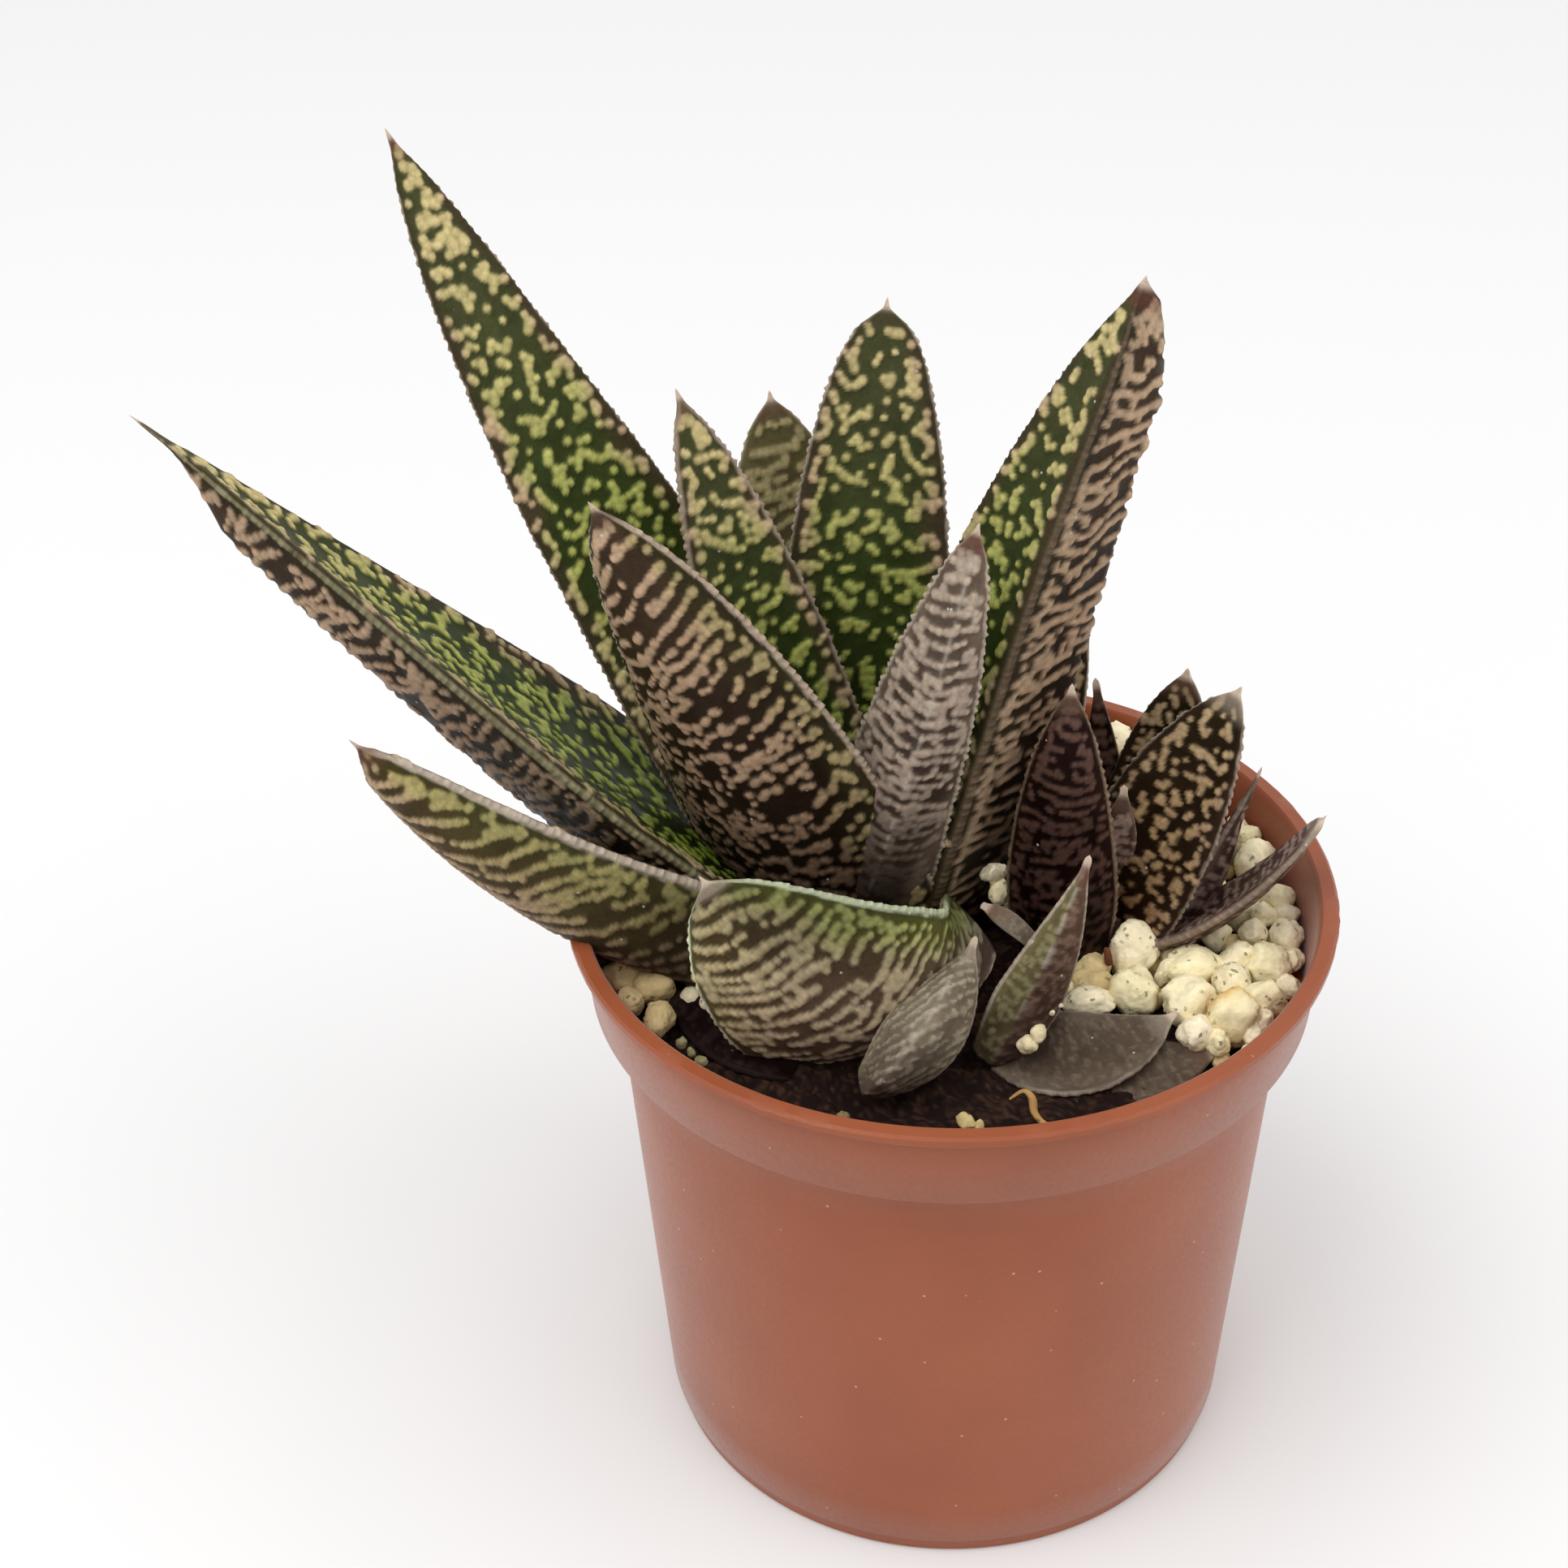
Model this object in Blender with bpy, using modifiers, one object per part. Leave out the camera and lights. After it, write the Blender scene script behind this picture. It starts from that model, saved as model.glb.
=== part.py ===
# A potted gasteria: a warty leaved succulent with one offset, in a round plastic nursery pot.
# Sizes are in millimetres and are turned into metres where vertices are made.
# The origin is the centre of the pot's base, +Z is up and -Y is the front.
import math
import random

import bmesh
import bpy
from mathutils import Vector
from mathutils.bvhtree import BVHTree

MM = 0.001

# Pot, a common 8.5 cm nursery pot
POT_HEIGHT = 71.4
RIM_RADIUS = 42.5
LIP_WIDTH = 2.0
LIP_THICK = 1.3
COLLAR_TOP_RADIUS = 41.3
COLLAR_FOOT_RADIUS = 40.5
COLLAR_FOOT_Z = 60.8
SHOULDER_Z = 59.6
BODY_TOP_RADIUS = 37.6
BODY_FOOT_RADIUS = 34.1
FOOT_LINE_Z = 1.8
FOOT_RADIUS = 33.6
WALL = 1.0
FLOOR = 1.4
POT_SEGMENTS = 44
DRAIN_HOLE_RADIUS = 4.0
DRAIN_HOLE_RING = 22.0
DRAIN_HOLES = 6

# Soil
SOIL_LEVEL = 60.0
SOIL_RISE = 0.12
SOIL_RIPPLE = 0.35
SOIL_RADII = (2, 14, 27)
SOIL_SEGMENTS = 30
GAP = 0.3
GROW_SHARE = 1.15

# Stems, where the leaves meet
STEM_MAIN = (-7.5, 8.0)
STEM_MAIN_RADIUS = 6.0
STEM_MAIN_TOP = 68.0
STEM_PUP = (17.5, 2.5)
STEM_PUP_RADIUS = 2.5
STEM_PUP_TOP = 66.0
STEM_DEPTH = 25.0
STEM_SIDES = 20

# Leaf relief, coarser than the real tubercles
MARGIN_TOOTH = 0.4
WART_HEIGHT = 0.22
BAND_HEIGHT = 0.28
CHANNEL = 0.06
KEEL_ROUND = 1.6
EDGE_THICK = 0.9
MUCRO_WIDTH = 0.9
TIP_SHARE = 0.975
FINE_COLUMNS = ((-1, -0.6, -0.2, 0.2, 0.6, 1), (1, 0.7, 0.35, 0, -0.35, -0.7, -1))
COARSE_COLUMNS = ((-1, -0.35, 0.35, 1), (1, 0.5, 0, -0.5, -1))
FINE_FROM = 16

# Pumice dressing
PUMICE_FRONT_LEVEL = 62.3
PUMICE_RISE = 0.17
PUMICE_FROM = -38
PUMICE_TO = 215
PUMICE_RADII = (9, 18, 27)
PUMICE_STEPS = 16
BED_GAP = 0.7
PUMICE_GRAINS = 40
GRAIN_FULLNESS = 1.12
SEED = 7

# Grains that show at the right and the left: x, y and radius
GRAINS = (
    (20.5, -2, 2.6), (20.5, -9.5, 2.5), (16, -5.5, 2.2), (15.5, -10, 2.3), (24, -6, 1.4), (27.5, -4.5, 2.4),
    (32, -3, 2.1), (26, -11, 2.7), (30.5, -13, 2.6), (33.5, -9.5, 2.2), (34.5, -4, 2.3), (36, 1.5, 1.7),
    (34, 5, 1.5), (36.5, 8.5, 1.8), (26, -16, 2.2), (34, 14, 2.4), (33, 19, 1.5), (28, 9, 2.3),
    (-35.5, -8.5, 2.1), (-32.5, -11.5, 1.7), (-31, -16, 1.4), (22, 30, 2.6), (17, 33, 2.2),
)

# The grain that lies between the plant and its offset: centre, radius and height share
LOOSE_GRAIN = ((5.2, 1.0, 70.3), 1.5, 1.8)

OLD_LEAVES = (
    "leaf_front_point", "leaf_bud", "leaf_front_flat", "leaf_front_under", "leaf_old_dark",
    "dried_bract",
)

# Each leaf: base, belly (middle control point of its centre line) and tip, the way its upper
# face looks, its full width, its thickness at the keel, the keel's place across the back
# (-1 to 1), twist from base to tip in degrees, how far along it is widest, how wide its base is,
# how blunt its tip is and how fast it tapers to it, how much its thickness falls towards the tip
# and how long it stays there, and its rings of vertices.
LEAVES = {
    "leaf_front_point": dict(base=(4.9, -17.2, 60.7), belly=(11.7, -14.4, 72.4),
        tip=(14.5, -11.9, 83.9), face=(0.09, 0.89, 0.24), width=7.5, thick=3.2, keel=0.26, rings=10,
        widest=0.29, root=0.72, blunt=0.33, taper=0.96),
    "leaf_bud": dict(base=(-8.2, -22.9, 61.5), belly=(-0.3, -21.4, 67.4), tip=(2.9, -11.6, 72.8),
        face=(0.24, 0.86, -0.19), width=8.5, thick=7.5, keel=0.2, rings=10, widest=0.4, root=0.45,
        blunt=1.03, taper=1.22),
    "leaf_front_curl": dict(base=(0.2, -2.8, 64.8), belly=(-9, -22.7, 63.4), tip=(-25.8, -18.3, 85),
        face=(-0.03, 0.99, 0.03), width=27.7, thick=6, keel=-0, rings=16, widest=0.54, root=0.49,
        blunt=0.41, taper=0.57),
    "leaf_centre": dict(base=(-11.6, 4, 63), belly=(-4, -5, 90.1), tip=(2.4, -2, 117.6),
        face=(0.3, 1, 0.1), width=14.8, thick=6, keel=-0.2, rings=18, widest=0.05, root=0.88,
        blunt=0.32, taper=0.5),
    "leaf_tall_right": dict(base=(-6.5, 5, 62.1), belly=(-2.1, 2.5, 101.7), tip=(18.2, 6, 140.7),
        face=(-0.78, -0.46, 0.28), width=16, thick=14.2, keel=0.59, rings=20, widest=0.24, root=0.8,
        blunt=0.75, taper=0.74, twist=-9, fall=0.45, stout=0.37),
    "leaf_side_left": dict(base=(-16, 2, 63.3), belly=(-38.9, -8, 69.8), tip=(-61.6, -14, 98.3),
        face=(0.12, 0.85, 0.52), width=21.3, thick=8.6, keel=0.01, rings=16, widest=0.22, root=0.9,
        blunt=1.15, taper=0.6),
    "leaf_mid_left": dict(base=(-12.3, 5, 62.2), belly=(-22.2, -3, 97.5), tip=(-36.1, -8, 122.8),
        face=(0.3, 0.9, 0.2), width=27.5, thick=7, keel=0, rings=18, widest=0.12, root=0.85,
        blunt=0.61, taper=0.68),
    "leaf_inner_left": dict(base=(-11.1, 8, 61.9), belly=(-19.7, 9, 94.7), tip=(-29.5, 14, 124.5),
        face=(0.4, -0.8, 0.4), width=16.2, thick=6, keel=0.2, rings=16, widest=0.17, root=0.9,
        blunt=0.93, taper=0.68),
    "leaf_low_left": dict(base=(-16.2, 7, 63.4), belly=(-45.4, 5, 90.2), tip=(-84.1, 2, 126.9),
        face=(0.63, 0.21, 0.74), width=29.3, thick=11.3, keel=-0.04, rings=22, widest=0.34, root=0.95,
        blunt=0.29, taper=1.06),
    "leaf_tall_left": dict(base=(-10.5, 10, 62.4), belly=(-42.8, 16, 112.1), tip=(-59.5, 24, 149),
        face=(0.35, -0.8, 0.4), width=23.3, thick=7, keel=0, rings=22, widest=0.1, root=0.75,
        blunt=0.02, taper=0.65),
    "leaf_back_wide": dict(base=(-10.6, 12, 62), belly=(-10.3, 16, 98.3), tip=(-7.7, 28, 128.7),
        face=(0.05, -1, 0.3), width=20.2, thick=6.5, keel=0.3, rings=18, widest=0.25, root=0.85,
        blunt=0.57, taper=0.43),
    "leaf_back_short": dict(base=(-12, 16, 62), belly=(-17.3, 26, 90.9), tip=(-21.1, 32, 115.7),
        face=(0.2, -0.9, 0.3), width=17.3, thick=6, keel=0, rings=14, widest=0.32, root=0.85,
        blunt=1.25, taper=0.62),
    "leaf_back_low": dict(base=(-10, 17.5, 61), belly=(-15, 32, 85), tip=(-19.5, 38.5, 109.5),
        face=(0.2, -0.9, 0.3), width=14, thick=6, keel=0, rings=12, widest=0.3, root=0.85, blunt=1.2,
        taper=0.7),
    "leaf_back_right": dict(base=(0, 11, 62), belly=(8.5, 18, 78), tip=(15.6, 22, 92),
        face=(-0.4, -0.8, 0.5), width=13.5, thick=5, keel=0, rings=10, widest=0.3, root=0.85, blunt=1),
    "leaf_front_flat": dict(base=(6, -16.3, 61.8), belly=(16.3, -20.7, 61.8), tip=(24.6, -14, 64.8),
        face=(-0.04, -0.33, 0.9), width=10.1, thick=3, keel=0.2, rings=9, widest=0.3, root=0.7,
        blunt=1.14, taper=0.94),
    "leaf_front_under": dict(base=(12, -21, 60), belly=(21, -20, 61), tip=(29.1, -17, 62),
        face=(0.1, -0.35, 0.9), width=6.5, thick=2.5, keel=0.2, rings=7, widest=0.5, root=0.7,
        blunt=1.5),
    "leaf_old_dark": dict(base=(-16, -19, 60.8), belly=(-24, -16, 62), tip=(-31.8, -8, 62),
        face=(0.1, -0.35, 0.9), width=8, thick=3, keel=0, rings=8, widest=0.4, root=0.7, blunt=1),
    "dried_bract": dict(base=(9, -9.5, 70.5), belly=(6, -7, 72.2), tip=(3.4, -5, 72),
        face=(0.1, -0.6, 0.8), width=2.4, thick=1, keel=0, rings=4, widest=0.5, root=0.7, blunt=1),
    "pup_leaf_front": dict(base=(12.9, -1, 62), belly=(11.7, -2, 78.9), tip=(12.5, 0, 97.5),
        face=(0.1, 0.95, 0.2), width=12, thick=5, keel=0, rings=12, widest=0.3, root=0.75, blunt=0.8,
        taper=0.72),
    "pup_leaf_wide": dict(base=(17.1, 1, 62.2), belly=(21.8, 1, 78.4), tip=(30.7, 4, 94.9),
        face=(-0.5, -0.8, 0.3), width=14, thick=5, keel=0, rings=12, widest=0.34, root=0.7, blunt=0.85,
        taper=0.62),
    "pup_leaf_back": dict(base=(17.9, 6, 62), belly=(24.1, 9, 79.1), tip=(25.7, 12, 92.2),
        face=(-0.5, -0.8, 0.3), width=11.5, thick=4, keel=0, rings=10, widest=0.38, root=0.7,
        blunt=1.16, taper=0.75),
    "pup_leaf_behind": dict(base=(16, 6, 62), belly=(18, 12, 76), tip=(15.9, 16, 88.3),
        face=(-0.2, -0.9, 0.3), width=6, thick=3.5, keel=0, rings=8, widest=0.3, root=0.7, blunt=0.8),
    "pup_leaf_narrow": dict(base=(20, 3, 62), belly=(28.5, 4, 67), tip=(34.2, 8, 82),
        face=(-0.5, 0.5, 0.5), width=8, thick=4, keel=0, rings=8, widest=0.3, root=0.8, blunt=0.6),
    "pup_leaf_low": dict(base=(18.7, 2.4, 62.9), belly=(29.9, -0.7, 65.5), tip=(40.4, -0.6, 81.6),
        face=(-0.46, 0.26, 0.81), width=9.2, thick=3.4, keel=-0.09, rings=10, widest=0.4, root=0.8,
        blunt=1.12, taper=0.35),
    "pup_leaf_inner": dict(base=(18, 3, 62), belly=(18.5, 2, 76), tip=(18.9, 4, 82),
        face=(0, -0.9, 0.3), width=4.5, thick=3, keel=0, rings=6, widest=0.4, root=0.8, blunt=1),
}


def collection(name):
    made = bpy.data.collections.new(name)
    bpy.context.scene.collection.children.link(made)
    return made


def material(name, colour, roughness):
    made = bpy.data.materials.new(name)
    made.use_nodes = True
    shader = made.node_tree.nodes["Principled BSDF"]
    shader.inputs["Base Color"].default_value = (*colour, 1.0)
    shader.inputs["Roughness"].default_value = roughness
    shader.inputs["Metallic"].default_value = 0.0
    return made


def mesh_object(name, bm, where, finish=None):
    mesh = bpy.data.meshes.new(name)
    bm.to_mesh(mesh)
    bm.free()
    made = bpy.data.objects.new(name, mesh)
    where.objects.link(made)
    if finish:
        mesh.materials.append(finish)
    return made


def centre_line(leaf, u):
    base, belly, tip = (Vector(leaf[key]) for key in ("base", "belly", "tip"))
    point = base * (1 - u) ** 2 + belly * 2 * u * (1 - u) + tip * u * u
    along = (belly - base) * (1 - u) + (tip - belly) * u
    return point, along.normalized()


def leaf_frame(leaf, u):
    """The centre point, the way across the leaf and the way its upper face looks."""
    point, along = centre_line(leaf, u)
    face = Vector(leaf["face"])
    face = (face - along * face.dot(along)).normalized()
    across = along.cross(face)
    turn = math.radians(leaf.get("twist", 0) * u)
    face_now = face * math.cos(turn) - across * math.sin(turn)
    across_now = across * math.cos(turn) + face * math.sin(turn)
    return point, across_now, face_now


def width_at(leaf, u):
    widest = leaf["widest"]
    if u < widest:
        share = leaf["root"] + (1 - leaf["root"]) * math.sin(0.5 * math.pi * u / widest)
    else:
        share = 1 - ((u - widest) / (1 - widest)) ** (1 + leaf["blunt"])
        share = max(share, 0.0) ** leaf.get("taper", 1.0)
    return leaf["width"] * share


def thickness_at(leaf, u):
    return leaf["thick"] * (1 - leaf.get("fall", 0.8) * u ** 2.2)


def leaf_ring(leaf, u, ring, relief=True, columns=FINE_COLUMNS):
    """One ring round the leaf: along the upper face from left to right, then back below."""
    point, across, face = leaf_frame(leaf, u)
    half = 0.5 * max(width_at(leaf, min(u / TIP_SHARE, 1.0)), MUCRO_WIDTH)
    slim = min(1.0, half / 3.0)
    thick = max(thickness_at(leaf, u) * slim ** leaf.get("stout", 1.0), EDGE_THICK)
    edge = 0.5 * EDGE_THICK
    channel = CHANNEL * half * 2
    raised = slim * (ring % 2) if relief else 0.0
    keel = leaf["keel"]
    points = []
    for side in columns[0]:
        margin = abs(side) == 1
        wart = WART_HEIGHT * slim if relief and not margin and (ring + len(points)) % 2 else 0.0
        tooth = math.copysign(MARGIN_TOOTH * raised, side) if margin else 0.0
        points.append((side * half + tooth, edge - channel * (1 - side * side) + wart))
    for side in columns[1]:
        margin = abs(side) == 1
        across_back = keel + side * (1 - keel if side > 0 else 1 + keel)
        depth = (thick - 2 * edge) * (1 - abs(side) ** KEEL_ROUND)
        band = 0.0 if margin else BAND_HEIGHT * raised
        tooth = math.copysign(MARGIN_TOOTH * raised, side) if margin else 0.0
        points.append((across_back * half + tooth, -edge - depth - band))
    return [(point + across * x + face * y) * MM for x, y in points]


def leaf_mesh(leaf, relief=True):
    """A loft of rings from the root to the tip, closed by a fan at each end."""
    bm = bmesh.new()
    count = leaf["rings"] if relief else max(6, round(0.8 * leaf["rings"]))
    columns = FINE_COLUMNS if relief and leaf["rings"] >= FINE_FROM else COARSE_COLUMNS
    shares = [1 - (1 - i / count) ** 1.15 for i in range(count)]
    shares = [share / shares[-1] * TIP_SHARE for share in shares]
    rings = []
    for number, u in enumerate(shares):
        rings.append([bm.verts.new(p) for p in leaf_ring(leaf, u, number, relief, columns)])
    for low, high in zip(rings, rings[1:]):
        for k in range(len(low)):
            after = (k + 1) % len(low)
            bm.faces.new((low[k], high[k], high[after], low[after]))
    tip = bm.verts.new(Vector(leaf["tip"]) * MM)
    root = bm.verts.new((Vector(leaf["base"]) - leaf_frame(leaf, 0)[2] * 0.3 * leaf["thick"]) * MM)
    for k in range(len(rings[0])):
        after = (k + 1) % len(rings[0])
        bm.faces.new((rings[-1][k], tip, rings[-1][after]))
        bm.faces.new((rings[0][after], root, rings[0][k]))
    bmesh.ops.triangulate(bm, faces=bm.faces[:])
    bmesh.ops.recalc_face_normals(bm, faces=bm.faces[:])
    return bm


def pot_inner_radius(z):
    """The pot's inside wall at a height: the body, the step at the collar's foot, the collar."""
    if z < SHOULDER_Z:
        share = z / SHOULDER_Z
        return BODY_FOOT_RADIUS + (BODY_TOP_RADIUS - BODY_FOOT_RADIUS) * share - WALL
    if z < COLLAR_FOOT_Z:
        share = (z - SHOULDER_Z) / (COLLAR_FOOT_Z - SHOULDER_Z)
        return BODY_TOP_RADIUS + (COLLAR_FOOT_RADIUS - BODY_TOP_RADIUS) * share - WALL
    share = (z - COLLAR_FOOT_Z) / (POT_HEIGHT - COLLAR_FOOT_Z)
    return COLLAR_FOOT_RADIUS + (COLLAR_TOP_RADIUS - COLLAR_FOOT_RADIUS) * share - WALL


def reach_at(z):
    """How far out the filling comes at a height, clear of the wall and its step."""
    return pot_inner_radius(z - GAP) - GAP


def soil_top(x, y):
    """The potting mix is rough in the middle and lies a little higher towards the back."""
    calm = max(0.0, 1 - (x * x + y * y) / BODY_TOP_RADIUS ** 2)
    ripple = SOIL_RIPPLE * calm * math.sin(0.55 * x + 1.0) * math.cos(0.5 * y)
    return SOIL_LEVEL + SOIL_RISE * max(0.0, y) + ripple


def pumice_top(y):
    return PUMICE_FRONT_LEVEL + PUMICE_RISE * max(0.0, y + 5)


def make_pot(where, cutters):
    """A turned profile: up the inside from the middle of the floor and down the outside."""
    foot_inner = BODY_FOOT_RADIUS - WALL
    lip_inner = RIM_RADIUS - LIP_WIDTH
    soft = 0.3
    profile = [
        (0, FLOOR), (foot_inner, FLOOR),
        (BODY_TOP_RADIUS - WALL, SHOULDER_Z), (COLLAR_FOOT_RADIUS - WALL, COLLAR_FOOT_Z),
        (COLLAR_TOP_RADIUS - WALL, POT_HEIGHT - LIP_THICK), (lip_inner, POT_HEIGHT - soft),
        (lip_inner + soft, POT_HEIGHT), (RIM_RADIUS - soft, POT_HEIGHT), (RIM_RADIUS, POT_HEIGHT - soft),
        (RIM_RADIUS, POT_HEIGHT - LIP_THICK + soft), (RIM_RADIUS - soft, POT_HEIGHT - LIP_THICK),
        (COLLAR_TOP_RADIUS, POT_HEIGHT - LIP_THICK - soft), (COLLAR_FOOT_RADIUS, COLLAR_FOOT_Z + soft),
        (COLLAR_FOOT_RADIUS - soft, COLLAR_FOOT_Z), (BODY_TOP_RADIUS + soft, SHOULDER_Z + soft),
        (BODY_TOP_RADIUS, SHOULDER_Z - soft), (BODY_FOOT_RADIUS, FOOT_LINE_Z + soft),
        (FOOT_RADIUS, FOOT_LINE_Z - soft), (FOOT_RADIUS, soft), (FOOT_RADIUS - soft, 0), (0, 0),
    ]
    bm = bmesh.new()
    corners = [bm.verts.new((r * MM, 0, z * MM)) for r, z in profile]
    for upper, lower in zip(corners, corners[1:]):
        bm.edges.new((upper, lower))
    pot = mesh_object("pot", bm, where, material("terracotta_plastic", (0.50, 0.19, 0.10), 0.5))
    turn = pot.modifiers.new("turn", "SCREW")
    turn.steps = POT_SEGMENTS
    turn.render_steps = POT_SEGMENTS
    turn.use_merge_vertices = True
    turn.merge_threshold = 0.00001
    for number in range(DRAIN_HOLES):
        angle = 2 * math.pi * (number + 0.37) / DRAIN_HOLES
        cutter = round_cutter("drain_%d" % number, DRAIN_HOLE_RADIUS, -5, FLOOR + 2, cutters,
                              (DRAIN_HOLE_RING * math.cos(angle), DRAIN_HOLE_RING * math.sin(angle)), 10)
        cut(pot, cutter)
    return pot


def round_bar(name, radius, low, high, centre, sides, where, finish=None):
    bm = bmesh.new()
    bmesh.ops.create_cone(bm, cap_ends=True, segments=sides, radius1=radius * MM, radius2=radius * MM,
                          depth=(high - low) * MM)
    bmesh.ops.translate(bm, verts=bm.verts, vec=(centre[0] * MM, centre[1] * MM, 0.5 * (low + high) * MM))
    return mesh_object(name, bm, where, finish)


def round_cutter(name, radius, low, high, cutters, centre, sides):
    return as_cutter(round_bar(name, radius, low, high, centre, sides, cutters))


def as_cutter(thing):
    thing.hide_render = True
    thing.display_type = "WIRE"
    return thing


def cut(thing, cutter):
    change = thing.modifiers.new("cut", "BOOLEAN")
    change.operation = "DIFFERENCE"
    change.object = cutter
    return change


def polar(radius, angle, height):
    x = radius * math.cos(math.radians(angle))
    y = radius * math.sin(math.radians(angle))
    return (x * MM, y * MM, height(x, y) * MM)


def rim_height(angle, height):
    """A surface's height where it meets the pot's wall."""
    x = BODY_TOP_RADIUS * math.cos(math.radians(angle))
    y = BODY_TOP_RADIUS * math.sin(math.radians(angle))
    return height(x, y)


def level(z):
    return lambda x, y: z


def make_soil(where, cutters):
    angles = [360 * k / SOIL_SEGMENTS for k in range(SOIL_SEGMENTS)]
    points = [[polar(radius, angle, soil_top) for angle in angles] for radius in SOIL_RADII]
    edge = [rim_height(angle, soil_top) for angle in angles]
    under_edge = [min(z - 0.05, COLLAR_FOOT_Z + GAP) for z in edge]
    shoulder = [min(z - 0.1, SHOULDER_Z + GAP) for z in edge]
    floor = [FLOOR + GAP] * SOIL_SEGMENTS
    for heights in (edge, under_edge, shoulder, floor):
        points.append([polar(reach_at(z), angle, level(z)) for angle, z in zip(angles, heights)])
    bm = bmesh.new()
    rows = [[bm.verts.new(p) for p in row] for row in points]
    for inner, outer in zip(rows, rows[1:]):
        for k in range(SOIL_SEGMENTS):
            after = (k + 1) % SOIL_SEGMENTS
            bm.faces.new((inner[k], outer[k], outer[after], inner[after]))
    top = bm.verts.new((0, 0, soil_top(0, 0) * MM))
    bottom = bm.verts.new((0, 0, (FLOOR + GAP) * MM))
    for k in range(SOIL_SEGMENTS):
        after = (k + 1) % SOIL_SEGMENTS
        bm.faces.new((top, rows[0][k], rows[0][after]))
        bm.faces.new((bottom, rows[-1][after], rows[-1][k]))
    bmesh.ops.triangulate(bm, faces=bm.faces[:])
    bmesh.ops.recalc_face_normals(bm, faces=bm.faces[:])
    soil = mesh_object("soil", bm, where, material("potting_mix", (0.035, 0.022, 0.016), 0.95))
    for number, (centre, radius) in enumerate(((STEM_MAIN, STEM_MAIN_RADIUS), (STEM_PUP, STEM_PUP_RADIUS))):
        hole = round_cutter("stem_hole_%d" % number, radius + GAP, SOIL_LEVEL - STEM_DEPTH - GAP,
                            POT_HEIGHT + 30, cutters, centre, STEM_SIDES)
        cut(soil, hole)
    return soil


def make_stems(where):
    bark = material("stem", (0.22, 0.15, 0.10), 0.8)
    low = SOIL_LEVEL - STEM_DEPTH
    return [
        round_bar("stem_main", STEM_MAIN_RADIUS, low, STEM_MAIN_TOP, STEM_MAIN, STEM_SIDES, where, bark),
        round_bar("stem_pup", STEM_PUP_RADIUS, low, STEM_PUP_TOP, STEM_PUP, STEM_SIDES, where, bark),
    ]


def grown(name, bm, cutters, relief=0.0):
    """A cutter: the body with its surface moved outwards by the gap and the relief's height."""
    bm.normal_update()
    for vert in bm.verts:
        vert.co += vert.normal * (GAP * GROW_SHARE + relief) * MM
    made = as_cutter(mesh_object("clear_" + name, bm, cutters))
    return made, tree_of(made)


def evaluated_mesh(thing):
    bpy.context.view_layer.update()
    depsgraph = bpy.context.evaluated_depsgraph_get()
    return bpy.data.meshes.new_from_object(thing.evaluated_get(depsgraph))


def largest_body(mesh):
    """The mesh in triangles without folded faces and loose scraps, and whether it is closed."""
    bm = bmesh.new()
    bm.from_mesh(mesh)
    bmesh.ops.triangulate(bm, faces=bm.faces[:])
    by_corners = {}
    for face in bm.faces:
        by_corners.setdefault(frozenset(face.verts), []).append(face)
    folded = [face for same in by_corners.values() if len(same) == 2 for face in same]
    bmesh.ops.delete(bm, geom=folded, context="FACES")
    groups = []
    seen = set()
    for start in bm.faces:
        if start in seen:
            continue
        group = [start]
        seen.add(start)
        for face in group:
            for edge in face.edges:
                for other in edge.link_faces:
                    if other not in seen:
                        seen.add(other)
                        group.append(other)
        groups.append(group)
    groups.sort(key=lambda g: sum(f.calc_area() for f in g), reverse=True)
    for scrap in groups[1:]:
        bmesh.ops.delete(bm, geom=scrap, context="FACES")
    closed = len(bm.faces) > 3 and all(len(edge.link_faces) == 2 for edge in bm.edges)
    return bm, closed


def keep_mesh(thing):
    """Applies the modifiers, with the second solver where the first leaves the body open."""
    for solver in ("EXACT", "MANIFOLD"):
        for change in thing.modifiers:
            if change.type == "BOOLEAN":
                change.solver = solver
        bm, closed = largest_body(evaluated_mesh(thing))
        if closed:
            break
    if not closed:
        raise ValueError("the cut left %s open" % thing.name)
    thing.modifiers.clear()
    bm.to_mesh(thing.data)
    bm.free()


def tree_of(thing):
    bm = bmesh.new()
    bm.from_mesh(thing.data)
    tree = BVHTree.FromBMesh(bm)
    bm.free()
    return tree


def clear_of(thing, cleared):
    """Cuts the piece back from those already placed, where it would cross them."""
    tree = tree_of(thing)
    crossed = [cutter for cutter, cutter_tree in cleared if tree.overlap(cutter_tree)]
    for cutter in crossed:
        cut(thing, cutter)
        keep_mesh(thing)


def make_leaves(where, cutters, cleared):
    finishes = {
        "leaf": material("leaf_green", (0.10, 0.13, 0.05), 0.45),
        "old": material("leaf_grey", (0.23, 0.19, 0.16), 0.55),
        "pup": material("leaf_dark", (0.07, 0.05, 0.035), 0.45),
    }
    for name, leaf in LEAVES.items():
        kind = "pup" if name.startswith("pup") else "old" if name in OLD_LEAVES else "leaf"
        thing = mesh_object(name, leaf_mesh(leaf), where, finishes[kind])
        clear_of(thing, cleared)
        cleared.append(grown(name, leaf_mesh(leaf, relief=False), cutters, MARGIN_TOOTH))


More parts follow.
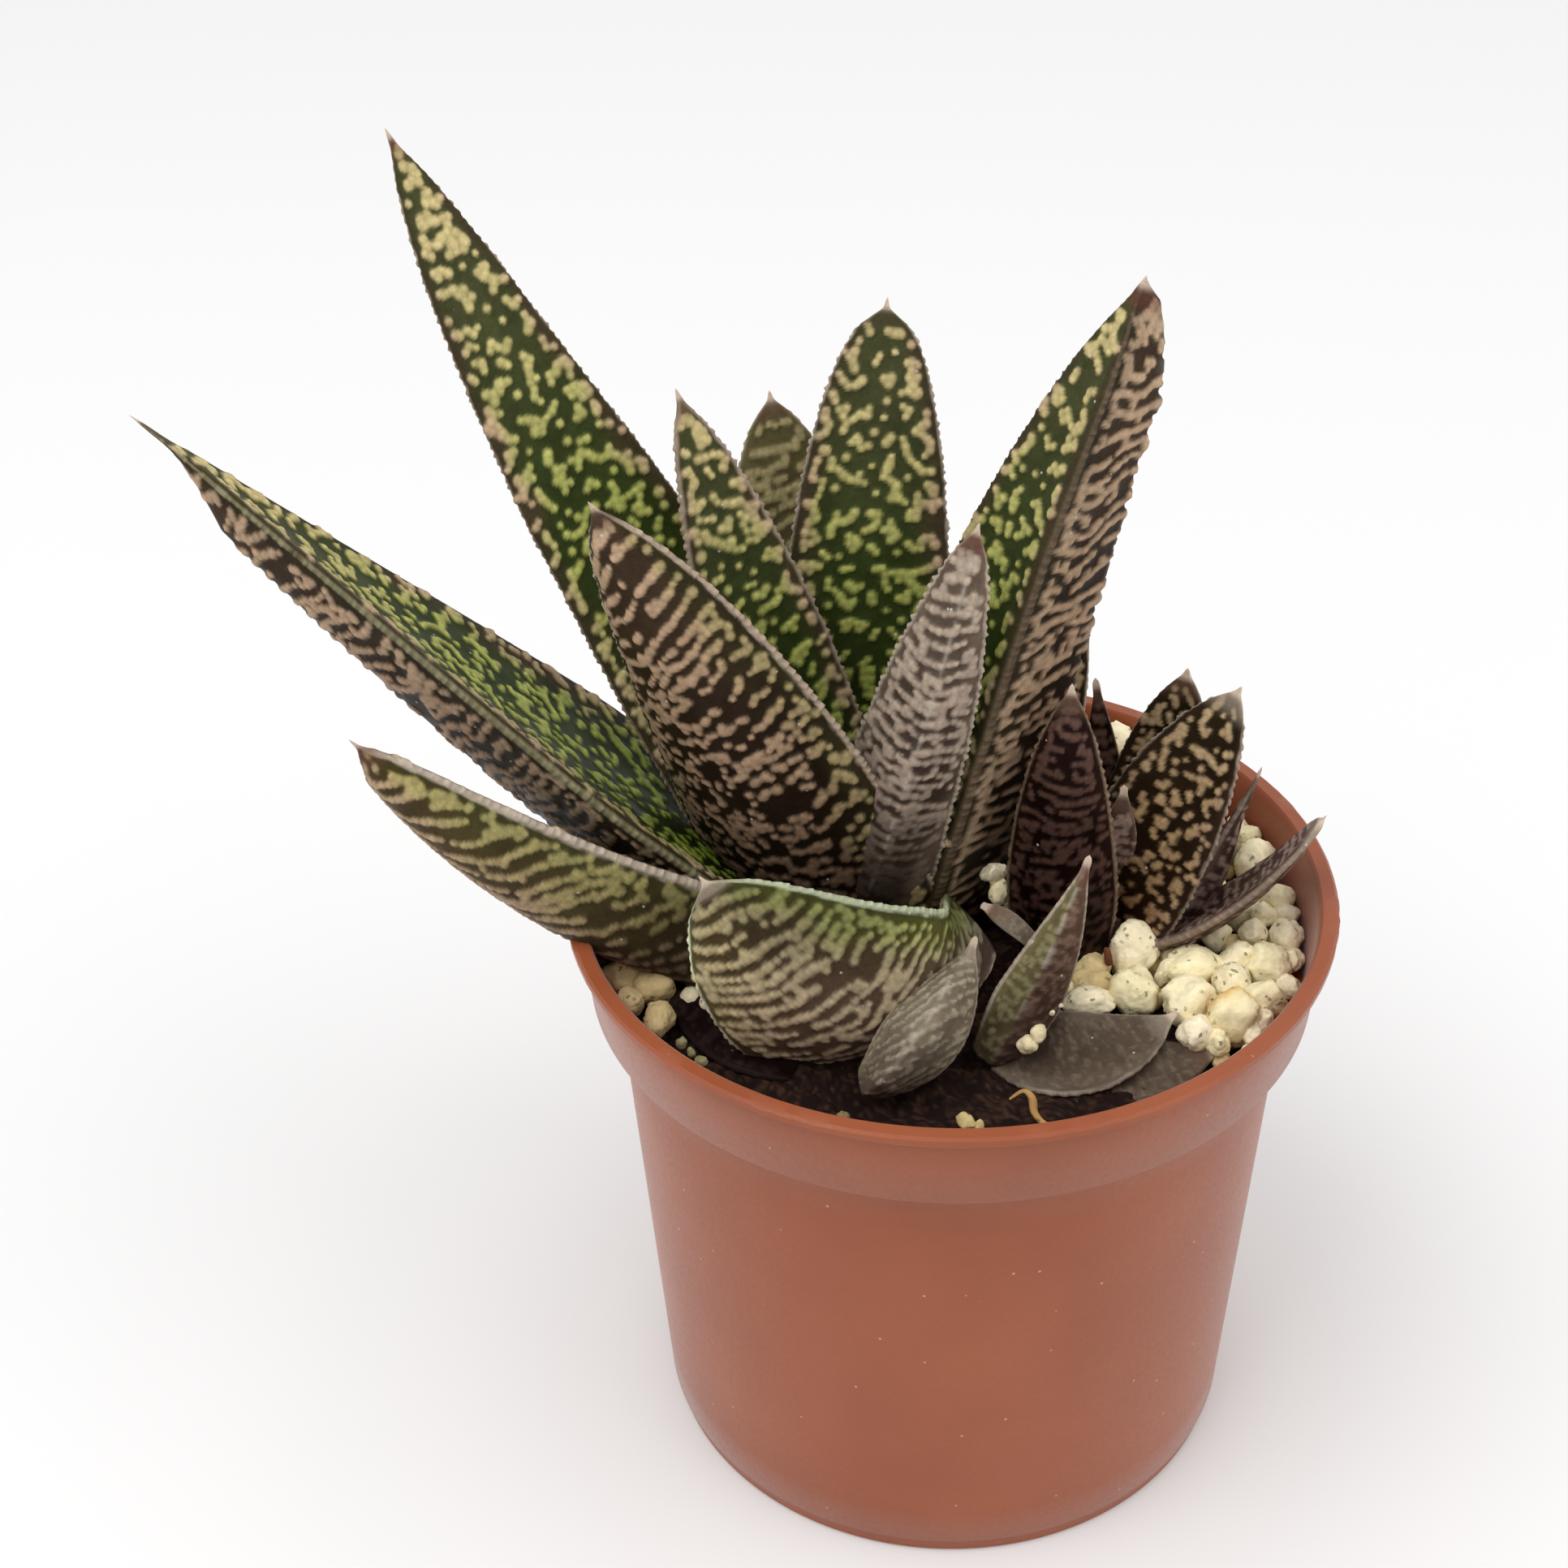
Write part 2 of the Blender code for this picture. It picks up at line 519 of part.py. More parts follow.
def stone(centre, radius, draw, tall=1.0):
    """A lumpy grain: an icosphere with its corners moved and its axes stretched."""
    bm = bmesh.new()
    bmesh.ops.create_icosphere(bm, subdivisions=1, radius=radius * GRAIN_FULLNESS * MM)
    stretch = Vector((draw.uniform(0.85, 1.2), draw.uniform(0.85, 1.2), draw.uniform(0.75, 0.95) * tall))
    turn = draw.uniform(0, math.pi)
    for vert in bm.verts:
        spot = vert.co * draw.uniform(0.9, 1.08)
        x = spot.x * stretch.x
        y = spot.y * stretch.y
        vert.co = Vector((x * math.cos(turn) - y * math.sin(turn),
                          x * math.sin(turn) + y * math.cos(turn), spot.z * stretch.z))
        vert.co += Vector(centre) * MM
    return bm


def pumice_spots(draw):
    """The grains that show best stand where they lie on the real pot; the rest fill in."""
    spots = list(GRAINS)
    inner = STEM_MAIN_RADIUS + 8
    tries = 0
    while len(spots) < PUMICE_GRAINS and tries < 4000:
        tries += 1
        angle = math.radians(draw.uniform(PUMICE_FROM + 4, PUMICE_TO - 4))
        reach = math.sqrt(draw.uniform(inner ** 2, 35.5 ** 2))
        x, y, r = reach * math.cos(angle), reach * math.sin(angle), draw.uniform(1.6, 3.0)
        if all(math.hypot(x - a, y - b) > 0.8 * (r + c) for a, b, c in spots):
            spots.append((x, y, r))
    return spots


def pumice_bed(where, finish):
    """The closed body that carries the grains, a sector between the soil and the grains' level."""
    angles = [PUMICE_FROM + (PUMICE_TO - PUMICE_FROM) * k / PUMICE_STEPS for k in range(PUMICE_STEPS + 1)]

    def bed_foot(x, y):
        return soil_top(x, y) + BED_GAP

    def bed_top(x, y):
        return pumice_top(y)

    reach = [reach_at(rim_height(angle, bed_foot)) for angle in angles]
    bm = bmesh.new()
    layers = []
    for height in (bed_foot, bed_top):
        points = [[polar(radius, angle, height) for angle in angles] for radius in PUMICE_RADII]
        points.append([polar(radius, angle, height) for radius, angle in zip(reach, angles)])
        layers.append([[bm.verts.new(p) for p in row] for row in points])
    foot, top = layers
    for layer in layers:
        for inner, outer in zip(layer, layer[1:]):
            for k in range(PUMICE_STEPS):
                bm.faces.new((inner[k], outer[k], outer[k + 1], inner[k + 1]))
    for row in (0, -1):
        for k in range(PUMICE_STEPS):
            bm.faces.new((foot[row][k], top[row][k], top[row][k + 1], foot[row][k + 1]))
    for k in (0, -1):
        for ring in range(len(PUMICE_RADII)):
            bm.faces.new((foot[ring][k], foot[ring + 1][k], top[ring + 1][k], top[ring][k]))
    bmesh.ops.triangulate(bm, faces=bm.faces[:])
    bmesh.ops.recalc_face_normals(bm, faces=bm.faces[:])
    return mesh_object("pumice", bm, where, finish)


def make_pumice(where, finish, cleared):
    draw = random.Random(SEED)
    bed = pumice_bed(where, finish)
    grains = collection("pumice_grains")
    for number, (x, y, r) in enumerate(pumice_spots(draw)):
        reach = math.hypot(x, y)
        most = pot_inner_radius(COLLAR_FOOT_Z) - GAP - 1.25 * r
        shrink = min(1.0, most / reach)
        bm = stone((x * shrink, y * shrink, pumice_top(y * shrink) + 0.3 * r), r, draw)
        mesh_object("grain_%02d" % number, bm, grains)
    join = bed.modifiers.new("grains", "BOOLEAN")
    join.operation = "UNION"
    join.operand_type = "COLLECTION"
    join.collection = grains
    keep_mesh(bed)
    for grain in list(grains.objects):
        bpy.data.objects.remove(grain)
    bpy.data.collections.remove(grains)
    clear_of(bed, cleared)


def make_loose_grain(where, finish, cleared):
    centre, radius, tall = LOOSE_GRAIN
    grain = mesh_object("loose_grain", stone(centre, radius, random.Random(SEED), tall), where, finish)
    clear_of(grain, cleared)


def main():
    for thing in list(bpy.data.objects):
        bpy.data.objects.remove(thing)
    where = collection("potted_gasteria")
    cutters = collection("cutters")
    pot = make_pot(where, cutters)
    soil = make_soil(where, cutters)
    cleared = []
    for thing in make_stems(where) + [soil, pot]:
        bm = bmesh.new()
        bm.from_mesh(evaluated_mesh(thing))
        cleared.append(grown(thing.name, bm, cutters))
    make_leaves(where, cutters, cleared)
    white = material("pumice", (0.78, 0.72, 0.55), 0.9)
    make_pumice(where, white, [pair for pair in cleared if pair[0].name != "clear_soil"])
    make_loose_grain(where, white, cleared)


main()
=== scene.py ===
# A potted gasteria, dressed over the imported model: warty leaves, pumice, soil and a plastic pot.
# Lengths are in millimetres until vertices are made. The pot's base centre is the origin, +Z is up.
import math
import random

import bmesh
import bpy
import numpy as np
from mathutils import Matrix, Vector, noise


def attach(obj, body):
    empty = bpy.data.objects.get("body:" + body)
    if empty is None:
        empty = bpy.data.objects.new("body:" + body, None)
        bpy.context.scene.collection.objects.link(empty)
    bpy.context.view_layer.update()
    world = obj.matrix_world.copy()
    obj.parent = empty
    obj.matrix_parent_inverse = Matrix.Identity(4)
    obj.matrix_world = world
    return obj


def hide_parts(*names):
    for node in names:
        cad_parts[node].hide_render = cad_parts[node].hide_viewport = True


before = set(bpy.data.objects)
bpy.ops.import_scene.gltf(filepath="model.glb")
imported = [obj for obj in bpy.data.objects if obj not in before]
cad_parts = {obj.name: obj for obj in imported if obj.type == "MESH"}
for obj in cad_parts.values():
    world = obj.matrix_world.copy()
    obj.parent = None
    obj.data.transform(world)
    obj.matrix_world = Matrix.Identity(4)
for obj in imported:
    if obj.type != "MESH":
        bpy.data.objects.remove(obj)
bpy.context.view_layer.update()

MM = 0.001

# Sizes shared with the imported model
POT_HEIGHT = 71.4
RIM_RADIUS = 42.5
LIP_WIDTH = 2.0
LIP_THICK = 1.3
COLLAR_TOP_RADIUS = 41.3
COLLAR_FOOT_RADIUS = 40.5
COLLAR_FOOT_Z = 60.8
SHOULDER_Z = 59.6
BODY_TOP_RADIUS = 37.6
BODY_FOOT_RADIUS = 34.1
FOOT_LINE_Z = 1.8
FOOT_RADIUS = 33.6
WALL = 1.0
FLOOR = 1.4
DRAIN_HOLE_RADIUS = 4.0
DRAIN_HOLE_RING = 22.0
DRAIN_HOLES = 6
SOIL_LEVEL = 60.0
SOIL_RISE = 0.12
PUMICE_FRONT_LEVEL = 62.3
PUMICE_RISE = 0.17
PUMICE_FROM = -38
PUMICE_TO = 215
CHANNEL = 0.06
KEEL_ROUND = 1.6
EDGE_THICK = 0.9
MUCRO_WIDTH = 0.9
TIP_SHARE = 0.975

LEAVES = {
    "leaf_front_point": dict(base=(4.9, -17.2, 60.7), belly=(11.7, -14.4, 72.4),
        tip=(14.5, -11.9, 83.9), face=(0.09, 0.89, 0.24), width=7.5, thick=3.2, keel=0.26, widest=0.29,
        root=0.72, blunt=0.33, taper=0.96),
    "leaf_bud": dict(base=(-8.2, -22.9, 61.5), belly=(-0.3, -21.4, 67.4), tip=(2.9, -11.6, 72.8),
        face=(0.24, 0.86, -0.19), width=8.5, thick=7.5, keel=0.2, widest=0.4, root=0.45, blunt=1.03,
        taper=1.22),
    "leaf_front_curl": dict(base=(0.2, -2.8, 64.8), belly=(-9, -22.7, 63.4), tip=(-25.8, -18.3, 85),
        face=(-0.03, 0.99, 0.03), width=27.7, thick=6, keel=-0, widest=0.54, root=0.49, blunt=0.41,
        taper=0.57),
    "leaf_centre": dict(base=(-11.6, 4, 63), belly=(-4, -5, 90.1), tip=(2.4, -2, 117.6),
        face=(0.3, 1, 0.1), width=14.8, thick=6, keel=-0.2, widest=0.05, root=0.88, blunt=0.32,
        taper=0.5),
    "leaf_tall_right": dict(base=(-6.5, 5, 62.1), belly=(-2.1, 2.5, 101.7), tip=(18.2, 6, 140.7),
        face=(-0.78, -0.46, 0.28), width=16, thick=14.2, keel=0.59, widest=0.24, root=0.8, blunt=0.75,
        taper=0.74, twist=-9, fall=0.45, stout=0.37),
    "leaf_side_left": dict(base=(-16, 2, 63.3), belly=(-38.9, -8, 69.8), tip=(-61.6, -14, 98.3),
        face=(0.12, 0.85, 0.52), width=21.3, thick=8.6, keel=0.01, widest=0.22, root=0.9, blunt=1.15,
        taper=0.6),
    "leaf_mid_left": dict(base=(-12.3, 5, 62.2), belly=(-22.2, -3, 97.5), tip=(-36.1, -8, 122.8),
        face=(0.3, 0.9, 0.2), width=27.5, thick=7, keel=0, widest=0.12, root=0.85, blunt=0.61,
        taper=0.68),
    "leaf_inner_left": dict(base=(-11.1, 8, 61.9), belly=(-19.7, 9, 94.7), tip=(-29.5, 14, 124.5),
        face=(0.4, -0.8, 0.4), width=16.2, thick=6, keel=0.2, widest=0.17, root=0.9, blunt=0.93,
        taper=0.68),
    "leaf_low_left": dict(base=(-16.2, 7, 63.4), belly=(-45.4, 5, 90.2), tip=(-84.1, 2, 126.9),
        face=(0.63, 0.21, 0.74), width=29.3, thick=11.3, keel=-0.04, widest=0.34, root=0.95,
        blunt=0.29, taper=1.06),
    "leaf_tall_left": dict(base=(-10.5, 10, 62.4), belly=(-42.8, 16, 112.1), tip=(-59.5, 24, 149),
        face=(0.35, -0.8, 0.4), width=23.3, thick=7, keel=0, widest=0.1, root=0.75, blunt=0.02,
        taper=0.65),
    "leaf_back_wide": dict(base=(-10.6, 12, 62), belly=(-10.3, 16, 98.3), tip=(-7.7, 28, 128.7),
        face=(0.05, -1, 0.3), width=20.2, thick=6.5, keel=0.3, widest=0.25, root=0.85, blunt=0.57,
        taper=0.43),
    "leaf_back_short": dict(base=(-12, 16, 62), belly=(-17.3, 26, 90.9), tip=(-21.1, 32, 115.7),
        face=(0.2, -0.9, 0.3), width=17.3, thick=6, keel=0, widest=0.32, root=0.85, blunt=1.25,
        taper=0.62),
    "leaf_back_low": dict(base=(-10, 17.5, 61), belly=(-15, 32, 85), tip=(-19.5, 38.5, 109.5),
        face=(0.2, -0.9, 0.3), width=14, thick=6, keel=0, widest=0.3, root=0.85, blunt=1.2, taper=0.7),
    "leaf_back_right": dict(base=(0, 11, 62), belly=(8.5, 18, 78), tip=(15.6, 22, 92),
        face=(-0.4, -0.8, 0.5), width=13.5, thick=5, keel=0, widest=0.3, root=0.85, blunt=1),
    "leaf_front_flat": dict(base=(6, -16.3, 61.8), belly=(16.3, -20.7, 61.8), tip=(24.6, -14, 64.8),
        face=(-0.04, -0.33, 0.9), width=10.1, thick=3, keel=0.2, widest=0.3, root=0.7, blunt=1.14,
        taper=0.94),
    "leaf_front_under": dict(base=(12, -21, 60), belly=(21, -20, 61), tip=(29.1, -17, 62),
        face=(0.1, -0.35, 0.9), width=6.5, thick=2.5, keel=0.2, widest=0.5, root=0.7, blunt=1.5),
    "leaf_old_dark": dict(base=(-16, -19, 60.8), belly=(-24, -16, 62), tip=(-31.8, -8, 62),
        face=(0.1, -0.35, 0.9), width=8, thick=3, keel=0, widest=0.4, root=0.7, blunt=1),
    "dried_bract": dict(base=(9, -9.5, 70.5), belly=(6, -7, 72.2), tip=(3.4, -5, 72),
        face=(0.1, -0.6, 0.8), width=2.4, thick=1, keel=0, widest=0.5, root=0.7, blunt=1),
    "pup_leaf_front": dict(base=(12.9, -1, 62), belly=(11.7, -2, 78.9), tip=(12.5, 0, 97.5),
        face=(0.1, 0.95, 0.2), width=12, thick=5, keel=0, widest=0.3, root=0.75, blunt=0.8,
        taper=0.72),
    "pup_leaf_wide": dict(base=(17.1, 1, 62.2), belly=(21.8, 1, 78.4), tip=(30.7, 4, 94.9),
        face=(-0.5, -0.8, 0.3), width=14, thick=5, keel=0, widest=0.34, root=0.7, blunt=0.85,
        taper=0.62),
    "pup_leaf_back": dict(base=(17.9, 6, 62), belly=(24.1, 9, 79.1), tip=(25.7, 12, 92.2),
        face=(-0.5, -0.8, 0.3), width=11.5, thick=4, keel=0, widest=0.38, root=0.7, blunt=1.16,
        taper=0.75),
    "pup_leaf_behind": dict(base=(16, 6, 62), belly=(18, 12, 76), tip=(15.9, 16, 88.3),
        face=(-0.2, -0.9, 0.3), width=6, thick=3.5, keel=0, widest=0.3, root=0.7, blunt=0.8),
    "pup_leaf_narrow": dict(base=(20, 3, 62), belly=(28.5, 4, 67), tip=(34.2, 8, 82),
        face=(-0.5, 0.5, 0.5), width=8, thick=4, keel=0, widest=0.3, root=0.8, blunt=0.6),
    "pup_leaf_low": dict(base=(18.7, 2.4, 62.9), belly=(29.9, -0.7, 65.5), tip=(40.4, -0.6, 81.6),
        face=(-0.46, 0.26, 0.81), width=9.2, thick=3.4, keel=-0.09, widest=0.4, root=0.8, blunt=1.12,
        taper=0.35),
    "pup_leaf_inner": dict(base=(18, 3, 62), belly=(18.5, 2, 76), tip=(18.9, 4, 82),
        face=(0, -0.9, 0.3), width=4.5, thick=3, keel=0, widest=0.4, root=0.8, blunt=1),
}


def rgb(r, g, b):
    """A colour given in display values, as the linear values that shaders and vertices use."""
    return tuple(((c / 255 + 0.055) / 1.055) ** 2.4 if c > 10 else c / 255 / 12.92 for c in (r, g, b))


# How each kind of leaf face looks: ground and wart colours near the tip, in the middle, near the
# root and beside the margin, how the warts are laid, and their size.
# On most faces the colours near the root are darker, partly the leaf's own colour and partly painted shade where the
# leaves crowd at the base.
FACES = {
    "green": dict(
        ground=(rgb(64, 66, 40), rgb(44, 54, 22), rgb(26, 36, 8), rgb(58, 50, 34)),
        wart=(rgb(188, 172, 122), rgb(158, 163, 86), rgb(126, 147, 52), rgb(178, 153, 122)),
        lay="chains", every=1.95, links=7, radius=0.58, height=0.3),
    "banded": dict(
        ground=(rgb(58, 44, 32), rgb(36, 26, 18), rgb(16, 8, 5), rgb(46, 38, 26)),
        wart=(rgb(174, 147, 119), rgb(156, 129, 104), rgb(78, 58, 46), rgb(158, 135, 110)),
        lay="bands", every=1.85, gap=0.09, radius=0.56, height=0.28),
    "grey": dict(
        ground=(rgb(84, 71, 60), rgb(60, 48, 40), rgb(30, 21, 15), rgb(96, 82, 70)),
        wart=(rgb(164, 148, 131), rgb(158, 140, 125), rgb(62, 50, 41), rgb(158, 142, 127)),
        lay="bands", every=1.5, gap=0.05, radius=0.52, height=0.26),
    "olive": dict(
        ground=(rgb(84, 78, 50), rgb(72, 70, 42), rgb(50, 50, 28), rgb(96, 90, 62)),
        wart=(rgb(164, 152, 110), rgb(152, 146, 100), rgb(120, 118, 74), rgb(150, 140, 104)),
        lay="bands", every=2.0, gap=0.05, radius=0.58, height=0.22),
    "curl": dict(
        ground=(rgb(52, 43, 26), rgb(58, 46, 36), rgb(92, 77, 66), rgb(60, 54, 34)),
        wart=(rgb(130, 119, 88), rgb(130, 117, 96), rgb(168, 153, 136), rgb(126, 118, 90)),
        lay="bands", every=1.75, gap=0.03, radius=0.58, height=0.24),
    "side": dict(
        ground=(rgb(70, 56, 38), rgb(62, 50, 36), rgb(64, 50, 42), rgb(60, 52, 36)),
        wart=(rgb(168, 144, 114), rgb(150, 127, 102), rgb(120, 102, 88), rgb(150, 132, 104)),
        lay="bands", every=1.9, gap=0.06, radius=0.58, height=0.28),
    "flat": dict(
        ground=(rgb(82, 70, 58), rgb(76, 64, 52), rgb(58, 48, 40), rgb(92, 80, 68)),
        wart=(rgb(100, 87, 73), rgb(96, 83, 70), rgb(76, 65, 55), rgb(108, 95, 82)),
        lay="bands", every=1.2, gap=0.25, radius=0.34, height=0.1),
    "dull": dict(
        ground=(rgb(96, 84, 66), rgb(88, 76, 60), rgb(66, 56, 46), rgb(104, 94, 76)),
        wart=(rgb(128, 116, 96), rgb(122, 110, 92), rgb(98, 86, 74), rgb(134, 122, 102)),
        lay="bands", every=1.2, gap=0.2, radius=0.36, height=0.12),
    "bud": dict(
        ground=(rgb(114, 102, 84), rgb(116, 104, 88), rgb(92, 80, 68), rgb(124, 114, 92)),
        wart=(rgb(158, 150, 128), rgb(154, 146, 126), rgb(128, 118, 102), rgb(166, 158, 136)),
        lay="bands", every=1.1, gap=0.14, radius=0.3, height=0.16),
    "dark": dict(
        ground=(rgb(24, 9, 8), rgb(15, 4, 3), rgb(10, 2, 2), rgb(30, 14, 11)),
        wart=(rgb(86, 64, 55), rgb(66, 46, 39), rgb(52, 33, 28), rgb(84, 60, 50)),
        lay="bands", every=1.3, gap=0.1, radius=0.42, height=0.16),
    "gold": dict(
        ground=(rgb(38, 28, 14), rgb(32, 21, 11), rgb(26, 13, 7), rgb(42, 30, 20)),
        wart=(rgb(170, 146, 112), rgb(162, 134, 98), rgb(124, 90, 64), rgb(158, 132, 104)),
        lay="chains", every=1.5, links=4, radius=0.47, height=0.22),
    "purple": dict(
        ground=(rgb(66, 48, 42), rgb(60, 42, 36), rgb(50, 34, 29), rgb(86, 68, 60)),
        wart=(rgb(144, 121, 110), rgb(134, 111, 100), rgb(108, 86, 77), rgb(142, 120, 109)),
        lay="bands", every=1.2, gap=0.14, radius=0.4, height=0.13),
    # Very dark for the old leaf: partly its own dark colour, mostly painted shade where it lies low beneath the leaves
    # above.
    "painted_shade_black": dict(
        ground=(rgb(26, 15, 14), rgb(22, 11, 11), rgb(20, 10, 10), rgb(32, 21, 20)),
        wart=(rgb(44, 31, 30), rgb(40, 26, 26), rgb(32, 20, 20), rgb(50, 37, 35)),
        lay="bands", every=1.6, gap=0.4, radius=0.4, height=0.08),
    "straw": dict(
        ground=(rgb(104, 92, 78), rgb(100, 88, 74), rgb(84, 74, 62), rgb(128, 116, 100)),
        wart=(rgb(128, 118, 104), rgb(126, 114, 98), rgb(112, 102, 88), rgb(150, 140, 126)),
        lay="bands", every=1.2, gap=0.5, radius=0.3, height=0.04),
}

# Each leaf's upper and lower face, its margin's colour, bead size, and the grid's steps along
# and across.
MARGIN_PALE = rgb(166, 148, 130)
MARGIN_GREY = rgb(174, 160, 144)
MARGIN_GREEN = rgb(164, 170, 142)
MARGIN_WHITE = rgb(186, 178, 164)
MARGIN_TAN = rgb(150, 128, 106)
MARGIN_LIME = rgb(160, 154, 120)
# The old leaf's margin and tip, darkened like its faces as painted shade.
MARGIN_DARK = rgb(58, 46, 42)
LOOKS = {
    "leaf_tall_left": ("green", "banded", MARGIN_PALE, 0.3, 0.3, 0.38),
    "leaf_low_left": ("green", "banded", MARGIN_LIME, 0.34, 0.32, 0.38),
    "leaf_back_wide": ("green", "banded", MARGIN_GREY, 0.36, 0.3, 0.36),
    "leaf_inner_left": ("green", "banded", MARGIN_PALE, 0.42, 0.3, 0.36),
    "leaf_tall_right": ("green", "banded", MARGIN_TAN, 0.36, 0.3, 0.36),
    "leaf_mid_left": ("green", "banded", MARGIN_PALE, 0.4, 0.3, 0.34),
    "leaf_centre": ("green", "grey", MARGIN_GREY, 0.44, 0.28, 0.34),
    "leaf_side_left": ("green", "side", MARGIN_GREY, 0.42, 0.3, 0.36),
    "leaf_front_curl": ("olive", "curl", MARGIN_GREEN, 0.34, 0.3, 0.34),
    "leaf_back_short": ("olive", "banded", MARGIN_GREY, 0.22, 0.36, 0.45),
    "leaf_back_low": ("olive", "banded", MARGIN_GREY, 0.22, 0.4, 0.5),
    "leaf_back_right": ("gold", "banded", MARGIN_GREY, 0.2, 0.4, 0.45),
    "leaf_front_point": ("dull", "dull", MARGIN_GREY, 0.08, 0.3, 0.32),
    "leaf_bud": ("bud", "bud", MARGIN_GREY, 0.08, 0.25, 0.25),
    "leaf_front_flat": ("flat", "flat", MARGIN_GREY, 0.16, 0.32, 0.32),
    "leaf_front_under": ("flat", "purple", MARGIN_GREY, 0.12, 0.35, 0.35),
    "leaf_old_dark": ("painted_shade_black", "painted_shade_black", MARGIN_DARK, 0.08, 0.4, 0.4),
    "dried_bract": ("straw", "straw", MARGIN_GREY, 0.05, 0.25, 0.25),
    "pup_leaf_front": ("dark", "dark", MARGIN_TAN, 0.26, 0.3, 0.34),
    "pup_leaf_wide": ("gold", "dark", MARGIN_PALE, 0.36, 0.3, 0.34),
    "pup_leaf_back": ("gold", "dark", MARGIN_PALE, 0.2, 0.32, 0.36),
    "pup_leaf_behind": ("dark", "dark", MARGIN_PALE, 0.12, 0.36, 0.4),
    "pup_leaf_narrow": ("purple", "purple", MARGIN_PALE, 0.14, 0.36, 0.36),
    "pup_leaf_low": ("purple", "purple", MARGIN_PALE, 0.1, 0.3, 0.36),
    "pup_leaf_inner": ("purple", "dark", MARGIN_PALE, 0.1, 0.36, 0.36),
}

# What single leaves have of their own. slant tilts the bands (at the root, at the tip), loose
# scatters them towards the root, tip is the colour below the point, green (strength, side, from,
# to) greens the lower face towards one margin, keel is a pale line's strength, keel_beads its
# beads, fade quiets the warts near the root, wide and pale are the pale margin's width and
# strength, dry is how far the tip's colour reaches, under is painted light that
# lightens what faces down and split darkens one half of the lower face.
TIP_RED = rgb(98, 60, 50)
TIP_BROWN = rgb(104, 80, 66)
TIP_PALE = rgb(150, 136, 120)
DETAILS = {
    "leaf_tall_left": dict(tip=TIP_RED),
    "leaf_low_left": dict(tip=TIP_BROWN, wide=0.12, pale=0.35),
    "leaf_back_wide": dict(tip=rgb(70, 62, 44), wide=0.3),
    "leaf_inner_left": dict(tip=TIP_BROWN, wide=0.5),
    "leaf_tall_right": dict(tip=TIP_RED, keel_beads=1.3, keel=0.2, slant=(0.2, 0.45), wide=0.14, pale=0.2),
    "leaf_mid_left": dict(tip=rgb(84, 64, 54), slant=(0.2, 0.85), loose=0.45, green=(0.45, -1, 0.35, 0.9)),
    "leaf_centre": dict(tip=TIP_RED, fade=0.75, keel=0.5, keel_beads=0.4),
    "leaf_side_left": dict(tip=TIP_RED, slant=(-0.85, -0.7), green=(0.6, -1, -0.1, 0.7), wide=0.3, loose=0.1, fade=0.35),
    "leaf_front_curl": dict(tip=TIP_PALE, dry=2.6, under=2.2, green=(0.7, -1, 0.2, 0.9), fade=0.25, slant=(-0.4, -0.05), loose=0.08, wide=0.26),
    "leaf_back_short": dict(tip=TIP_BROWN, wide=0.24),
    "pup_leaf_front": dict(wide=0.14, pale=0.5),
    "pup_leaf_back": dict(wide=0.16, pale=0.6),
    "pup_leaf_behind": dict(wide=0.12, pale=0.4),
    "pup_leaf_narrow": dict(wide=0.14, pale=0.4),
    "leaf_front_point": dict(tip=TIP_RED, keel=0.6, split=0.5),
    "leaf_bud": dict(tip=TIP_PALE, keel=0.5, slant=(1.2, 1.2), loose=0.05),
    "leaf_front_flat": dict(tip=TIP_PALE, slant=(0.9, 0.9), loose=0.05, wide=0.36),
    "pup_leaf_wide": dict(tip=TIP_PALE, wide=0.26),
    "pup_leaf_low": dict(tip=TIP_PALE, wide=0.2, pale=0.5),
    "leaf_old_dark": dict(tip=MARGIN_DARK),
}

SLOTS = {"leaf_front_point": "leaf_grey", "leaf_bud": "leaf_grey", "leaf_front_flat": "leaf_grey",
         "leaf_front_under": "leaf_grey", "leaf_old_dark": "leaf_grey", "dried_bract": "leaf_grey"}


# Helpers
def smooth(low, high, value):
    share = np.clip((value - low) / (high - low), 0.0, 1.0)
    return share * share * (3 - 2 * share)


def mix(a, b, share):
    share = np.asarray(share)[..., None]
    return np.asarray(a) * (1 - share) + np.asarray(b) * share


def value_noise(x, y, seed):
    """Smooth noise between 0 and 1 on a plane, one feature per unit."""
    table = np.random.default_rng(seed).random((64, 64))
    column, row = np.floor(x).astype(int), np.floor(y).astype(int)
    fx, fy = x - column, y - row
    fx, fy = fx * fx * (3 - 2 * fx), fy * fy * (3 - 2 * fy)
    a, b = table[column % 64, row % 64], table[(column + 1) % 64, row % 64]
    c, d = table[column % 64, (row + 1) % 64], table[(column + 1) % 64, (row + 1) % 64]
    return (a * (1 - fx) + b * fx) * (1 - fy) + (c * (1 - fx) + d * fx) * fy


